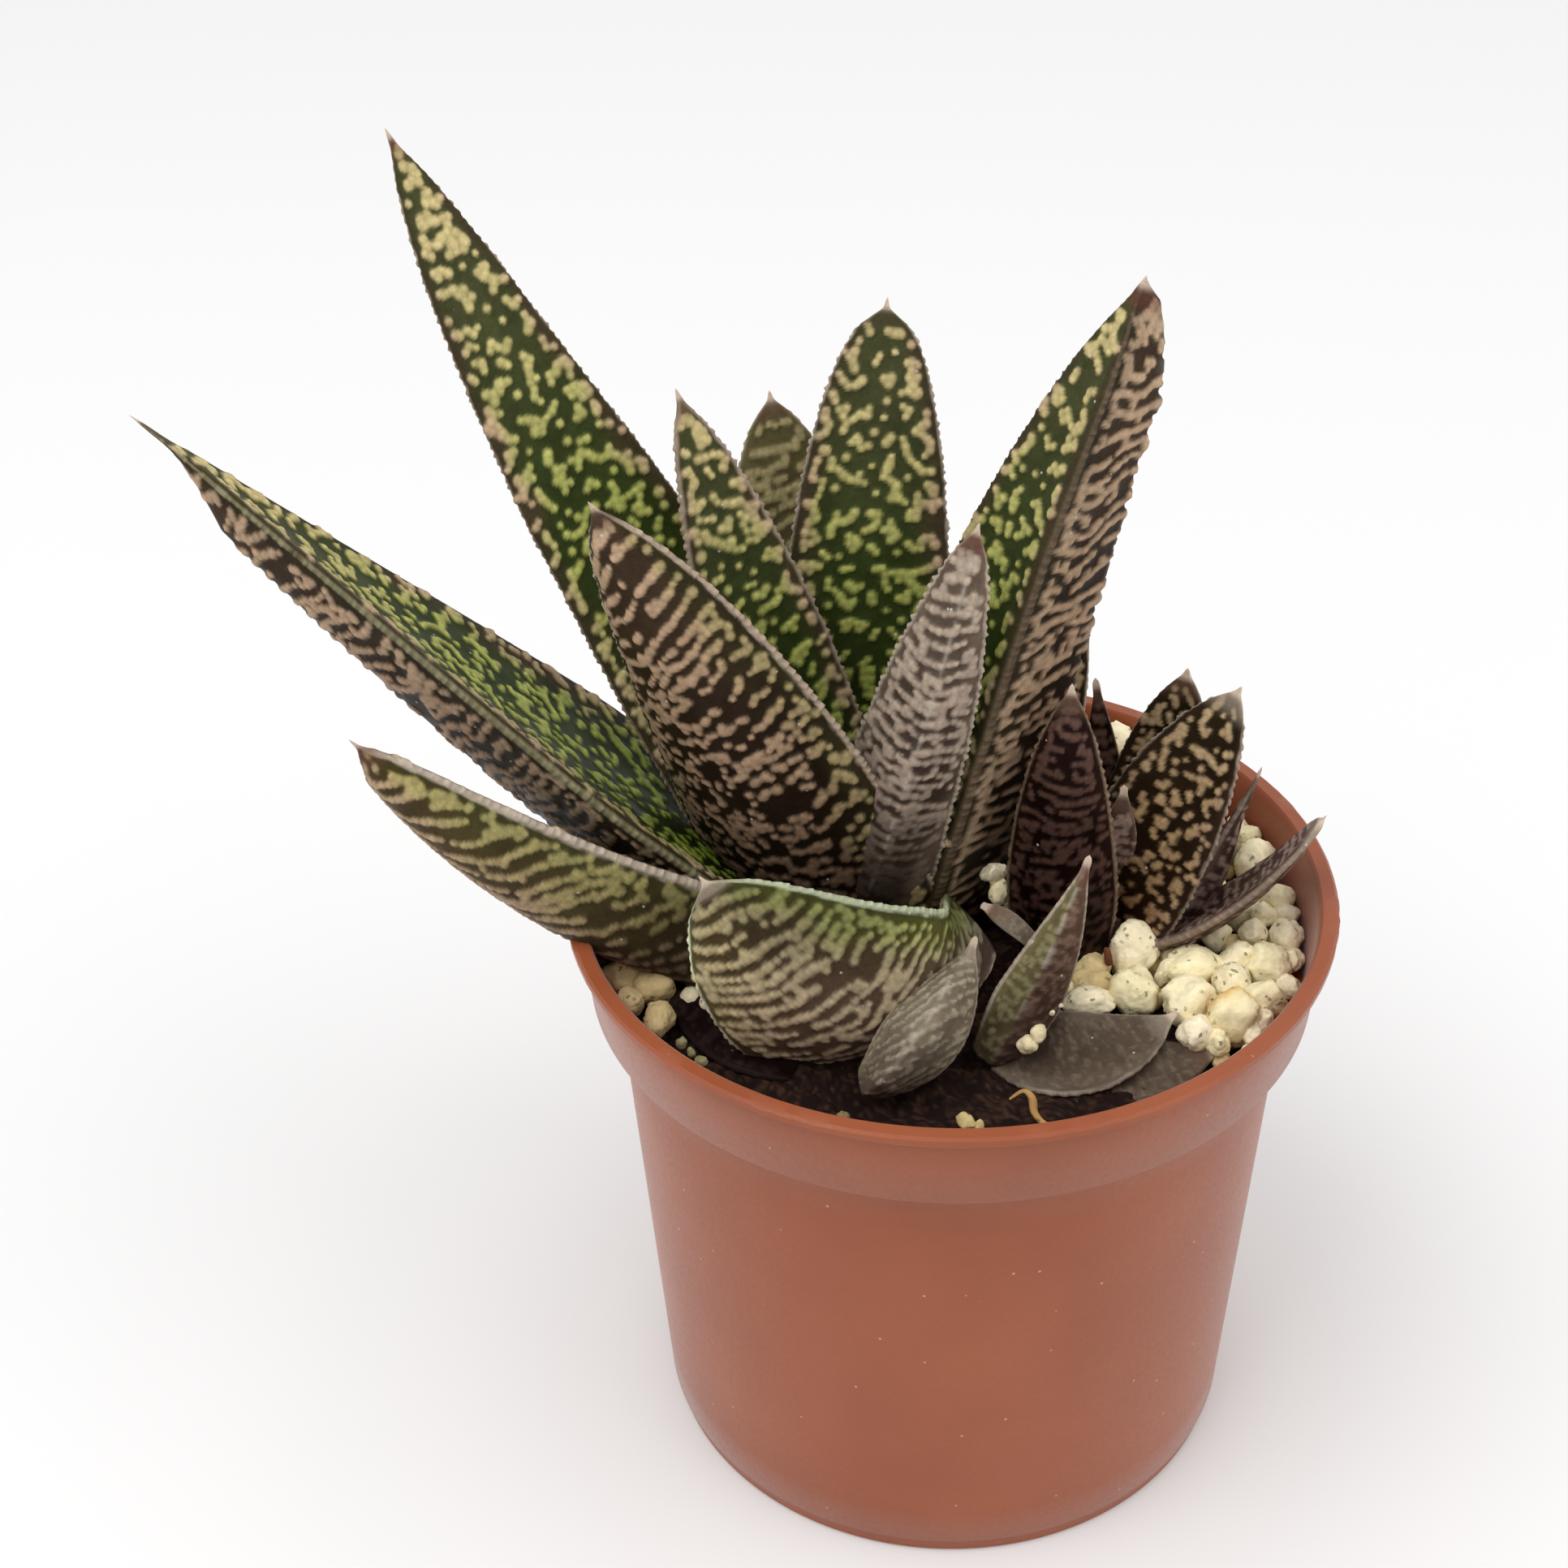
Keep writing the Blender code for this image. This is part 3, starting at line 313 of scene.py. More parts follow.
def grid_mesh(name, points, faces, colours=None, attributes=()):
    """A smooth shaded mesh from arrays, in millimetres, with vertex colours."""
    mesh = bpy.data.meshes.new(name)
    mesh.from_pydata([], [], [])
    mesh.vertices.add(len(points))
    mesh.vertices.foreach_set("co", (np.asarray(points) * MM).astype(np.float32).ravel())
    sizes = np.array([len(f) for f in faces]) if isinstance(faces, list) else np.full(len(faces), faces.shape[1])
    corners = np.concatenate([np.asarray(f) for f in faces]) if isinstance(faces, list) else faces.ravel()
    mesh.loops.add(len(corners))
    mesh.loops.foreach_set("vertex_index", corners.astype(np.int32))
    mesh.polygons.add(len(sizes))
    mesh.polygons.foreach_set("loop_start", np.concatenate([[0], np.cumsum(sizes)[:-1]]).astype(np.int32))
    mesh.polygons.foreach_set("loop_total", sizes.astype(np.int32))
    mesh.update(calc_edges=True)
    mesh.validate()
    mesh.polygons.foreach_set("use_smooth", np.ones(len(mesh.polygons), bool))
    if colours is not None:
        paint(mesh, colours)
    thing = bpy.data.objects.new(name, mesh)
    bpy.context.scene.collection.objects.link(thing)
    return thing


def outward_faces(thing):
    bm = bmesh.new()
    bm.from_mesh(thing.data)
    bmesh.ops.recalc_face_normals(bm, faces=bm.faces[:])
    bm.to_mesh(thing.data)
    bm.free()
    return thing


def paint(mesh, colours):
    layer = mesh.attributes.new("tone", "FLOAT_COLOR", "POINT")
    flat = np.ones((len(mesh.vertices), 4), np.float32)
    flat[:, :3] = colours
    layer.data.foreach_set("color", flat.ravel())


def dress(thing, finish, slot_name, *nodes):
    thing.data.materials.clear()
    thing.data.materials.append(finish)
    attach(thing, "root")
    if nodes:
        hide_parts(*nodes)
    return thing


# Leaves
def unit(v):
    return v / np.linalg.norm(v, axis=-1, keepdims=True)


def leaf_frame(leaf, u):
    base, belly, tip = (np.array(leaf[key], float) for key in ("base", "belly", "tip"))
    u = u[:, None]
    point = base * (1 - u) ** 2 + belly * 2 * u * (1 - u) + tip * u * u
    along = unit((belly - base) * (1 - u) + (tip - belly) * u)
    face = np.array(leaf["face"], float)
    face = unit(face - along * (along @ face)[:, None])
    across = np.cross(along, face)
    turn = np.radians(leaf.get("twist", 0) * u)
    return point, across * np.cos(turn) + face * np.sin(turn), face * np.cos(turn) - across * np.sin(turn)


def width_at(leaf, u):
    widest = leaf["widest"]
    rise = leaf["root"] + (1 - leaf["root"]) * np.sin(0.5 * np.pi * np.minimum(u / widest, 1))
    fall = 1 - np.clip((u - widest) / (1 - widest), 0, 1) ** (1 + leaf["blunt"])
    fall = np.maximum(fall, 0.0) ** leaf.get("taper", 1.0)
    return leaf["width"] * np.where(u < widest, rise, fall)


def arc_shares(leaf, step):
    """Places along the leaf at equal steps of its own length."""
    fine = np.linspace(0, 1, 400)
    points = leaf_frame(leaf, fine)[0]
    lengths = np.concatenate([[0], np.cumsum(np.linalg.norm(np.diff(points, axis=0), axis=1))])
    rows = max(12, int(round(lengths[-1] / step)))
    places = np.linspace(0, lengths[-1], rows + 1)[:-1]
    return np.interp(places, lengths, fine), places, lengths[-1]


def tone_along(colours, high, low, edge):
    near_tip, middle, near_root, beside = colours
    return mix(mix(mix(middle, near_tip, high), near_root, low), beside, edge)


def chains(draw, length, half_at, every, links, radius):
    """Warts in short wandering chains that keep clear of each other."""
    step = 1.5 * radius
    spots = []

    def clear(x, y, distance, own):
        return all((x - a) ** 2 + (y - b) ** 2 > distance ** 2 for a, b, c in spots if c != own)

    tries = int(7 * length * half_at(0.3 * length) * 2 / every ** 2) + 60
    for chain in range(tries):
        y = draw.uniform(0.5, length - 2.5)
        half = half_at(y)
        x = draw.uniform(-half, half)
        if not clear(x, y, 0.78 * every, -1):
            continue
        heading = draw.gauss(0, 0.9) + (math.pi if draw.random() < 0.5 else 0)
        for link in range(draw.randint(1, links)):
            if abs(x) > half_at(y) - 0.8 or y > length - 2.5 or y < 0:
                break
            if not clear(x, y, 0.66 * every, chain):
                break
            spots.append((x, y, chain))
            if draw.random() < 0.4:
                side = heading + draw.choice((-1, 1)) * math.pi / 2
                spots.append((x + step * math.cos(side), y + step * math.sin(side), chain))
            heading += draw.gauss(0, 0.6)
            x += step * math.cos(heading)
            y += step * math.sin(heading)
    return [(x, y) for x, y, chain in spots]


def bands(draw, length, half_at, look, own, seed):
    """Warts in wavy rows across the leaf, broken here and there and looser towards the root."""
    every, gap, radius = look["every"], look["gap"], look["radius"]
    root_slant, tip_slant = own.get("slant", (0.0, 0.0))
    loose = own.get("loose", 0.15)
    spots = []
    reach = half_at(0.2 * length)
    beyond = max(abs(root_slant), abs(tip_slant)) * reach
    y = 1.0 - beyond
    while y < length - 2.5 + beyond:
        slant = root_slant + (tip_slant - root_slant) * min(1.0, max(0.0, y / length))
        longer = math.hypot(1, slant)
        x = -reach + draw.uniform(0, 0.5)
        shown = draw.random() > gap
        while x < reach:
            place = y + slant * x
            scatter = 0.08 + loose * float(smooth(0.75, 0.25, place / length))
            place += 1.1 * every * noise.noise((x * 0.2, y * 0.11, seed * 3.1)) + draw.gauss(0, scatter)
            inside = 0.3 < place < length - 2.2 and abs(x) < half_at(place) - 0.6
            if shown and inside:
                spots.append((x + draw.gauss(0, 0.7 * scatter), place))
                if draw.random() < 0.16:
                    spots.append((x + draw.gauss(0, 0.2), place + draw.choice((-1, 1)) * 1.3 * radius))
            if draw.random() < (gap * 0.9 if shown else 0.45):
                shown = not shown
            x += 1.4 * radius * draw.uniform(0.85, 1.25) / longer
        y += every * longer * draw.uniform(0.84, 1.18)
    return spots


def splat(x_grid, y_rows, spots, radius, draw):
    """The warts over the face's grid: their joint field, their own domes and each one's shade."""
    field = np.zeros_like(x_grid)
    peak = np.zeros_like(x_grid)
    shade = np.zeros_like(x_grid)
    for x, y in spots:
        r = radius * draw.uniform(0.8, 1.2)
        own = draw.random()
        first, last = np.searchsorted(y_rows, (y - 2.2 * r, y + 2.2 * r))
        if first >= last:
            continue
        dx = x_grid[first:last] - x
        dy = y_rows[first:last, None] - y
        near = np.exp(-1.4 * (dx * dx + dy * dy) / (r * r))
        field[first:last] += near
        peak[first:last] = np.maximum(peak[first:last], near)
        shade[first:last] += near * own
    return field, peak, shade / np.maximum(field, 1e-6)


def shown_half(leaf, u, places, length):
    """Half the blade's width, running out into a slender point beyond the blade."""
    blade = 0.5 * width_at(leaf, np.minimum(u / TIP_SHARE, 1.0))
    point = 0.5 * MUCRO_WIDTH * np.clip((1 - u) / (1 - TIP_SHARE), 0.0, 1.0) ** 0.8
    half = np.maximum(np.maximum(blade, point), 0.06)
    window = np.minimum(0.42 * (length - places), 1.3) * smooth(14, 6, length - places)
    shifts = [np.interp(places + window * k, places, half) for k in np.linspace(-1, 1, 9)]
    return np.mean(shifts, axis=0)


def leaf_piece(name):
    leaf = LEAVES[name]
    own = DETAILS.get(name, {})
    top_look, back_look, margin_colour, bead, step, cross_step = LOOKS[name]
    seed = sum(ord(c) * (k + 3) for k, c in enumerate(name)) % 9973
    draw = random.Random(seed)
    u, places, length = arc_shares(leaf, step)
    rows = len(u)
    point, across, face = leaf_frame(leaf, u)
    half = shown_half(leaf, u, places, length)
    half += 0.25 * (value_noise(places * 0.12, places * 0 + 3, seed) - 0.5) * smooth(3, 12, length - places)
    slim = np.minimum(1.0, half / 3.0)
    thick = leaf["thick"] * (1 - leaf.get("fall", 0.8) * u ** 2.2) * slim ** leaf.get("stout", 1.0)
    thick *= np.clip((1 - u) / (1 - TIP_SHARE), 0.0, 1.0)
    edge = 0.5 * EDGE_THICK * np.minimum(1.0, half / 1.2)
    columns = max(10, int(round(leaf["width"] / cross_step * 1.05)))
    t = np.linspace(-1, 1, columns + 1)
    s = 0.55 * t + 0.45 * np.sin(0.5 * np.pi * t)
    # upper face from left to right, lower face back again; the margins are shared
    distance = (1 - np.abs(s))[None, :] * half[:, None]
    rounding = np.sqrt(np.clip(1 - (np.maximum(0, edge[:, None] - distance) / edge[:, None]) ** 2, 0, 1))
    upper_x = s[None, :] * half[:, None]
    upper_y = edge[:, None] * rounding - CHANNEL * 2 * half[:, None] * (1 - s[None, :] ** 2)
    keel = leaf["keel"]
    s_back = (keel + s * np.where(s > 0, 1 - keel, 1 + keel))[::-1]
    back_distance = (1 - np.abs(s_back))[None, :] * half[:, None]
    back_rounding = np.sqrt(np.clip(1 - (np.maximum(0, edge[:, None] - back_distance) / edge[:, None]) ** 2, 0, 1))
    depth = np.maximum(thick - 2 * edge, 0)[:, None] * (1 - np.abs(s[::-1])[None, :] ** KEEL_ROUND)
    lower_x = s_back[None, :] * half[:, None]
    lower_y = -edge[:, None] * back_rounding - depth
    x = np.concatenate([upper_x, lower_x[:, 1:-1]], axis=1)
    y = np.concatenate([upper_y, lower_y[:, 1:-1]], axis=1)
    base_points = point[:, None] + across[:, None] * x[..., None] + face[:, None] * y[..., None]
    # outward normals on the closed grid
    along_step = np.gradient(base_points, axis=0)
    round_step = np.roll(base_points, -1, axis=1) - np.roll(base_points, 1, axis=1)
    normals = unit(np.cross(round_step, along_step) + 1e-9)
    middle = base_points.mean(axis=1, keepdims=True)
    if np.mean(np.sum(normals * (base_points - middle), axis=-1)) < 0:
        normals = -normals
    upper_n = columns + 1
    lift = np.zeros(x.shape)
    inset = np.zeros(x.shape)
    colour = np.zeros(x.shape + (3,))
    root_to_tip = places / length
    for part, look_name in ((slice(0, upper_n), top_look), (slice(upper_n, None), back_look)):
        look = FACES[look_name]
        lower = part.start > 0
        own_x, own_y = x[:, part], y[:, part]
        run = np.concatenate([np.zeros((rows, 1)),
                              np.cumsum(np.hypot(np.diff(own_x, axis=1), np.diff(own_y, axis=1)), axis=1)], axis=1)
        run -= 0.5 * run[:, -1:]
        reach = np.abs(run[:, -1])

        def half_at(place):
            return float(np.interp(place, places, reach))

        if look["lay"] == "chains":
            spots = chains(draw, length, half_at, look["every"], look["links"], look["radius"])
        else:
            spots = bands(draw, length, half_at, look, own if lower else {}, seed % 17)
        # a looser line of warts beside each margin
        place = 2.0
        while place < length - 3:
            for sign in (-1, 1):
                if draw.random() < 0.7:
                    spots.append((sign * (half_at(place) - 1.3 - abs(draw.gauss(0, 0.3))), place + draw.gauss(0, 0.3)))
            place += 2.8 * look["radius"]
        field, peak, shade = splat(run, places, spots, look["radius"], draw)
        warts = smooth(0.2, 0.7, field)
        low = smooth(0.5, 0.08, root_to_tip)[:, None] + 0 * run
        high = smooth(0.5, 0.9, root_to_tip)[:, None] + 0 * run
        quiet = 1 - own.get("fade", 0.0) * smooth(0.55, 0.22, root_to_tip)[:, None]
        lift[:, part] = look["height"] * (0.4 * warts + 0.6 * peak) * quiet
        inset[:, part] = np.maximum(reach[:, None] - np.abs(run), 0)
        beside = np.abs(run) / np.maximum(reach, 0.1)[:, None]
        mottle = value_noise(run * 0.35 + 20, places[:, None] * 0.22 + 0 * run, seed + 5)
        patch = value_noise(run * 0.9 + 20, places[:, None] * 0.8 + 0 * run, seed + 7)
        fine = value_noise(run * 2.1 + 20, places[:, None] * 2.1 + 0 * run, seed + 6)
        edge_share = smooth(0.55, 0.98, beside + 0.3 * (mottle - 0.5))
        ground = tone_along(look["ground"], high, low, edge_share)
        wart = tone_along(look["wart"], high, low, edge_share)
        # Each wart is lighter at the top of its dome and darker at its foot: painted light and shade on the dome, over
        # a random tone of its own.
        wart = wart * (0.5 + 0.3 * shade + 0.42 * peak)[..., None]
        ground = ground * (0.72 + 0.36 * mottle + 0.2 * patch)[..., None]
        shown = mix(ground, wart, warts * quiet) * (0.9 + 0.2 * fine)[..., None]
        across_share = run / np.maximum(reach, 0.1)[:, None]
        if lower and "green" in own:
            strength, sign, start, end = own["green"]
            # the lower face is counted from the right margin, so its run is turned round
            share = strength * smooth(start, end, -sign * across_share + 0.35 * (mottle - 0.5))
            shown = mix(shown, shown * np.array((0.77, 1.03, 0.45)), share)
        if lower and "split" in own:
            side_share = smooth(-0.08, 0.08, own_x / np.maximum(half, 0.1)[:, None] - keel)
            shown = mix(shown * np.array((0.8, 0.62, 0.66)), shown * np.array((1.0, 1.08, 0.8)), side_share)
        if lower and ("keel" in own or "keel_beads" in own):
            off_keel = np.abs(own_x - keel * half[:, None])
            line = np.exp(-(off_keel / 0.22) ** 2) * smooth(0.3, 0.6, value_noise(places * 1.3, places * 0, seed + 8))[:, None]
            line *= smooth(0.15, 0.4, root_to_tip)[:, None]
            shown = mix(shown, MARGIN_WHITE, 0.75 * own.get("keel", 0.35) * line)
            lift[:, part] += 0.3 * own.get("keel_beads", 0.1) * line
        colour[:, part] = shown
    # margins: a pale line with beads
    margin_distance = np.concatenate([distance, back_distance[:, 1:-1]], axis=1)
    side = np.sign(x)
    beads = np.zeros(x.shape)
    for sign in (-1, 1):
        place = draw.uniform(0.4, 1.2)
        while place < length - 2.5:
            size = draw.uniform(0.24, 0.36)
            first, last = np.searchsorted(places, (place - 1.2, place + 1.2))
            near = np.exp(-((places[first:last, None] - place) ** 2 + inset[first:last] ** 2 * 1.2) / size ** 2)
            beads[first:last] += np.where(side[first:last] == sign, near, 0) * draw.uniform(0.45, 1.2)
            place += draw.uniform(0.7, 1.2)
    beads = np.minimum(beads, 1.2)
    wide = own.get("wide", 0.18)
    wander = value_noise(x * 0 + places[:, None] * 0.9, side * 7 + 20.5, seed + 9)
    margin = smooth(wide * 1.5, wide * 0.5, inset - 0.3 * (wander - 0.5)) * smooth(0.0, 0.2, root_to_tip)[:, None]
    near_point = smooth(3.2, 1.6, length - places)[:, None]
    lift = lift * smooth(0.1, 0.5, inset) * slim[:, None] * (1 - near_point)
    outward = across[:, None] * side[..., None] * (bead * beads * slim[:, None] * (1 - near_point))[..., None]
    colour = mix(colour, np.asarray(margin_colour), own.get("pale", 0.75) * margin)
    bright = smooth(0.25, 0.9, beads) * smooth(0, 0.2, root_to_tip)[:, None]
    colour = mix(colour, np.asarray(margin_colour) * 1.15, own.get("pale", 0.75) * bright)
    tip_share = smooth(own.get("dry", 4.4), 2.0, length - places)[:, None] + 0 * x
    colour = mix(colour, own.get("tip", TIP_BROWN), 0.6 * tip_share)
    # Faces that turn downward are made lighter in their colour: painted light where the light from above leaves them
    # in shade.
    under = own.get("under", 0.0) * smooth(0.35, -0.35, normals[..., 2])
    colour = colour * (1 + under)[..., None]
    colour = mix(colour, rgb(190, 170, 152), smooth(1.7, 0.8, length - places)[:, None] + 0 * x)
    points = base_points + normals * lift[..., None] + outward
    # faces
    count = points.shape[1]
    i = np.arange(rows - 1)[:, None] * count
    j = np.arange(count)[None, :]
    k = (j + 1) % count
    quads = np.stack([i + j, i + k, i + count + k, i + count + j], axis=-1).reshape(-1, 4)
    flat = points.reshape(-1, 3)
    tip_index, root_index = len(flat), len(flat) + 1
    root = np.array(leaf["base"], float) - leaf_frame(leaf, np.zeros(1))[2][0] * 0.3 * leaf["thick"]
    flat = np.vstack([flat, np.array(leaf["tip"], float), root])
    ring = np.arange(count)
    after = (ring + 1) % count
    last_row = (rows - 1) * count
    faces = [f for f in quads]
    faces += [np.array((last_row + a, last_row + b, tip_index)) for a, b in zip(ring, after)]
    faces += [np.array((b, a, root_index)) for a, b in zip(ring, after)]
    tones = np.vstack([colour.reshape(-1, 3), colour[-1, 0], colour[0, 0]])
    return outward_faces(grid_mesh(name + "_look", flat, faces, np.clip(tones, 0.0, 1.0)))


# Materials
def new_material(name, roughness, specular=0.5):
    made = bpy.data.materials.new(name)
    made.use_nodes = True
    shader = made.node_tree.nodes["Principled BSDF"]
    shader.inputs["Roughness"].default_value = roughness
    shader.inputs["Specular IOR Level"].default_value = specular
    return made, made.node_tree, shader


def noise_node(tree, scale, detail=3.0, roughness=0.55):
    node = tree.nodes.new("ShaderNodeTexNoise")
    coords = tree.nodes.new("ShaderNodeTexCoord")
    tree.links.new(coords.outputs["Object"], node.inputs["Vector"])
    node.inputs["Scale"].default_value = scale
    node.inputs["Detail"].default_value = detail
    node.inputs["Roughness"].default_value = roughness
    return node


def mapped(tree, source, low, high, low_to, high_to):
    node = tree.nodes.new("ShaderNodeMapRange")
    tree.links.new(source, node.inputs["Value"])
    for key, value in (("From Min", low), ("From Max", high), ("To Min", low_to), ("To Max", high_to)):
        node.inputs[key].default_value = value
    return node.outputs["Result"]


def bump(tree, shader, source, strength, distance):
    node = tree.nodes.new("ShaderNodeBump")
    node.inputs["Strength"].default_value = strength
    node.inputs["Distance"].default_value = distance * MM
    tree.links.new(source, node.inputs["Height"])
    tree.links.new(node.outputs["Normal"], shader.inputs["Normal"])


def toned(tree, shader, value):
    """The vertex tone, made lighter and darker by a procedural value."""
    tone = tree.nodes.new("ShaderNodeAttribute")
    tone.attribute_name = "tone"
    scale = tree.nodes.new("ShaderNodeVectorMath")
    scale.operation = "SCALE"
    tree.links.new(tone.outputs["Color"], scale.inputs[0])
    tree.links.new(value, scale.inputs["Scale"])
    tree.links.new(scale.outputs["Vector"], shader.inputs["Base Color"])
    return scale.outputs["Vector"]


def leaf_material(name, roughness):
    made, tree, shader = new_material(name, roughness, 0.04)
    grain = noise_node(tree, 2600, 4.0)
    tone = toned(tree, shader, mapped(tree, grain.outputs["Fac"], 0.25, 0.75, 0.84, 1.16))
    dust = tree.nodes.new("ShaderNodeTexVoronoi")
    coords = tree.nodes.new("ShaderNodeTexCoord")
    tree.links.new(coords.outputs["Object"], dust.inputs["Vector"])
    dust.inputs["Scale"].default_value = 330
    blend = tree.nodes.new("ShaderNodeMix")
    blend.data_type = "RGBA"
    tree.links.new(mapped(tree, dust.outputs["Distance"], 0.035, 0.06, 0.6, 0.0), blend.inputs["Factor"])
    tree.links.new(tone, blend.inputs["A"])
    blend.inputs["B"].default_value = (*rgb(206, 206, 196), 1)
    tree.links.new(blend.outputs["Result"], shader.inputs["Base Color"])
    bump(tree, shader, grain.outputs["Fac"], 0.35, 0.06)
    sheen = noise_node(tree, 240, 2.0)
    tree.links.new(mapped(tree, sheen.outputs["Fac"], 0.3, 0.7, roughness - 0.1, roughness + 0.12),
                   shader.inputs["Roughness"])
    return made


def grain_material(name, roughness, scale, spread, relief, pits=0.0):
    """Grainy and matt; pits is the size of small dark holes, as a share of their spacing. The holes are dark only in
    their colour: painted shade.
    """
    made, tree, shader = new_material(name, roughness, 0.2)
    grain = noise_node(tree, scale, 5.0, 0.65)
    value = mapped(tree, grain.outputs["Fac"], 0.25, 0.75, 1 - spread, 1 + spread)
    if pits:
        # The pits are spots darkened in the colour, painted shade where the holes would be; the bump does not cut
        # them.
        holes = tree.nodes.new("ShaderNodeTexVoronoi")
        coords = tree.nodes.new("ShaderNodeTexCoord")
        warped = tree.nodes.new("ShaderNodeVectorMath")
        warped.operation = "MULTIPLY_ADD"
        warped.inputs[1].default_value = (0.0012, 0.0012, 0.0012)
        tree.links.new(noise_node(tree, 1100, 2.0).outputs["Color"], warped.inputs[0])
        tree.links.new(coords.outputs["Object"], warped.inputs[2])
        tree.links.new(warped.outputs["Vector"], holes.inputs["Vector"])
        holes.inputs["Scale"].default_value = 800
        sparse = tree.nodes.new("ShaderNodeMath")
        sparse.operation = "MAXIMUM"
        tree.links.new(mapped(tree, holes.outputs["Distance"], 0.6 * pits, pits, 0.35, 1.0), sparse.inputs[0])
        tree.links.new(mapped(tree, noise_node(tree, 260, 2.0).outputs["Fac"], 0.44, 0.52, 1.0, 0.3), sparse.inputs[1])
        darken = tree.nodes.new("ShaderNodeMath")
        darken.operation = "MULTIPLY"
        tree.links.new(value, darken.inputs[0])
        tree.links.new(sparse.outputs["Value"], darken.inputs[1])
        value = darken.outputs["Value"]
    toned(tree, shader, value)
    bump(tree, shader, grain.outputs["Fac"], 0.6, relief)
    return made


# Pot
def pot_piece():
    soft = 0.3
    foot_inner = BODY_FOOT_RADIUS - WALL
    lip_inner = RIM_RADIUS - LIP_WIDTH
    profile = [
        (8, FLOOR), (foot_inner, FLOOR), (BODY_TOP_RADIUS - WALL, SHOULDER_Z), (COLLAR_FOOT_RADIUS - WALL, COLLAR_FOOT_Z),
        (COLLAR_TOP_RADIUS - WALL, POT_HEIGHT - LIP_THICK), (lip_inner, POT_HEIGHT - soft),
        (lip_inner + soft, POT_HEIGHT), (RIM_RADIUS - soft, POT_HEIGHT), (RIM_RADIUS, POT_HEIGHT - soft),
        (RIM_RADIUS, POT_HEIGHT - LIP_THICK + soft), (RIM_RADIUS - soft, POT_HEIGHT - LIP_THICK),
        (COLLAR_TOP_RADIUS, POT_HEIGHT - LIP_THICK - soft), (COLLAR_FOOT_RADIUS, COLLAR_FOOT_Z + soft),
        (COLLAR_FOOT_RADIUS - soft, COLLAR_FOOT_Z), (BODY_TOP_RADIUS + soft, SHOULDER_Z + soft),
        (BODY_TOP_RADIUS, SHOULDER_Z - soft), (BODY_FOOT_RADIUS, FOOT_LINE_Z + soft),
        (FOOT_RADIUS, FOOT_LINE_Z - soft), (FOOT_RADIUS, soft), (FOOT_RADIUS - soft, 0), (8, 0),
    ]
    steps = 240
    fine = []
    for (r0, z0), (r1, z1) in zip(profile, profile[1:]):
        pieces = max(1, int(math.hypot(r1 - r0, z1 - z0) / 5))
        fine += [(r0 + (r1 - r0) * k / pieces, z0 + (z1 - z0) * k / pieces) for k in range(pieces)]
    fine.append(profile[-1])
    angles = np.linspace(0, 2 * np.pi, steps, endpoint=False)
    r = np.array([p[0] for p in fine])[:, None] + 0 * angles
    z = np.array([p[1] for p in fine])[:, None] + 0 * angles
    # the lip's outer edge carries a thin uneven flash
    on_lip = (np.abs(r - RIM_RADIUS) < 0.05)
    flash = value_noise(angles[None, :] * 60 + 0 * r, r * 0, 31) ** 2
    flash_more = value_noise(angles[None, :] * 7 + 0 * r, r * 0, 32)
    r = r + on_lip * 0.22 * flash * flash_more
    points = np.stack([r * np.cos(angles), r * np.sin(angles), z], axis=-1)
    rows = len(fine)
    i = np.arange(rows - 1)[:, None] * steps
    j = np.arange(steps)[None, :]
    k = (j + 1) % steps
    quads = np.stack([i + j, i + k, i + steps + k, i + steps + j], axis=-1).reshape(-1, 4)
    close = (np.arange(steps) + (rows - 1) * steps, np.arange(steps))
    wall = np.stack([close[0], np.roll(close[0], -1), np.roll(close[1], -1), close[1]], axis=-1)
    thing = outward_faces(grid_mesh("pot_look", points.reshape(-1, 3), np.vstack([quads, wall])))
    thing.data.set_sharp_from_angle(angle=math.radians(40))
    return thing


def pot_material():
    made, tree, shader = new_material("moulded_terracotta_plastic", 0.48, 0.42)
    shader.inputs["Sheen Weight"].default_value = 0.24
    shader.inputs["Sheen Roughness"].default_value = 0.4
    broad = noise_node(tree, 45, 2.0)
    fine = noise_node(tree, 1800, 3.0)
    ramp = tree.nodes.new("ShaderNodeValToRGB")
    ramp.color_ramp.elements[0].position = 0.3
    ramp.color_ramp.elements[0].color = (*rgb(137, 66, 30), 1)
    ramp.color_ramp.elements[1].position = 0.7
    ramp.color_ramp.elements[1].color = (*rgb(148, 75, 38), 1)
    tree.links.new(broad.outputs["Fac"], ramp.inputs["Fac"])
    specks = tree.nodes.new("ShaderNodeTexVoronoi")
    coords = tree.nodes.new("ShaderNodeTexCoord")
    tree.links.new(coords.outputs["Object"], specks.inputs["Vector"])
    specks.inputs["Scale"].default_value = 260
    shown = mapped(tree, specks.outputs["Distance"], 0.035, 0.05, 0.55, 0.0)
    blend = tree.nodes.new("ShaderNodeMix")
    blend.data_type = "RGBA"
    tree.links.new(shown, blend.inputs["Factor"])
    tree.links.new(ramp.outputs["Color"], blend.inputs["A"])
    blend.inputs["B"].default_value = (*rgb(206, 170, 150), 1)
    tree.links.new(blend.outputs["Result"], shader.inputs["Base Color"])
    tree.links.new(mapped(tree, fine.outputs["Fac"], 0.3, 0.7, 0.42, 0.56), shader.inputs["Roughness"])
    bump(tree, shader, fine.outputs["Fac"], 0.15, 0.04)
    return made


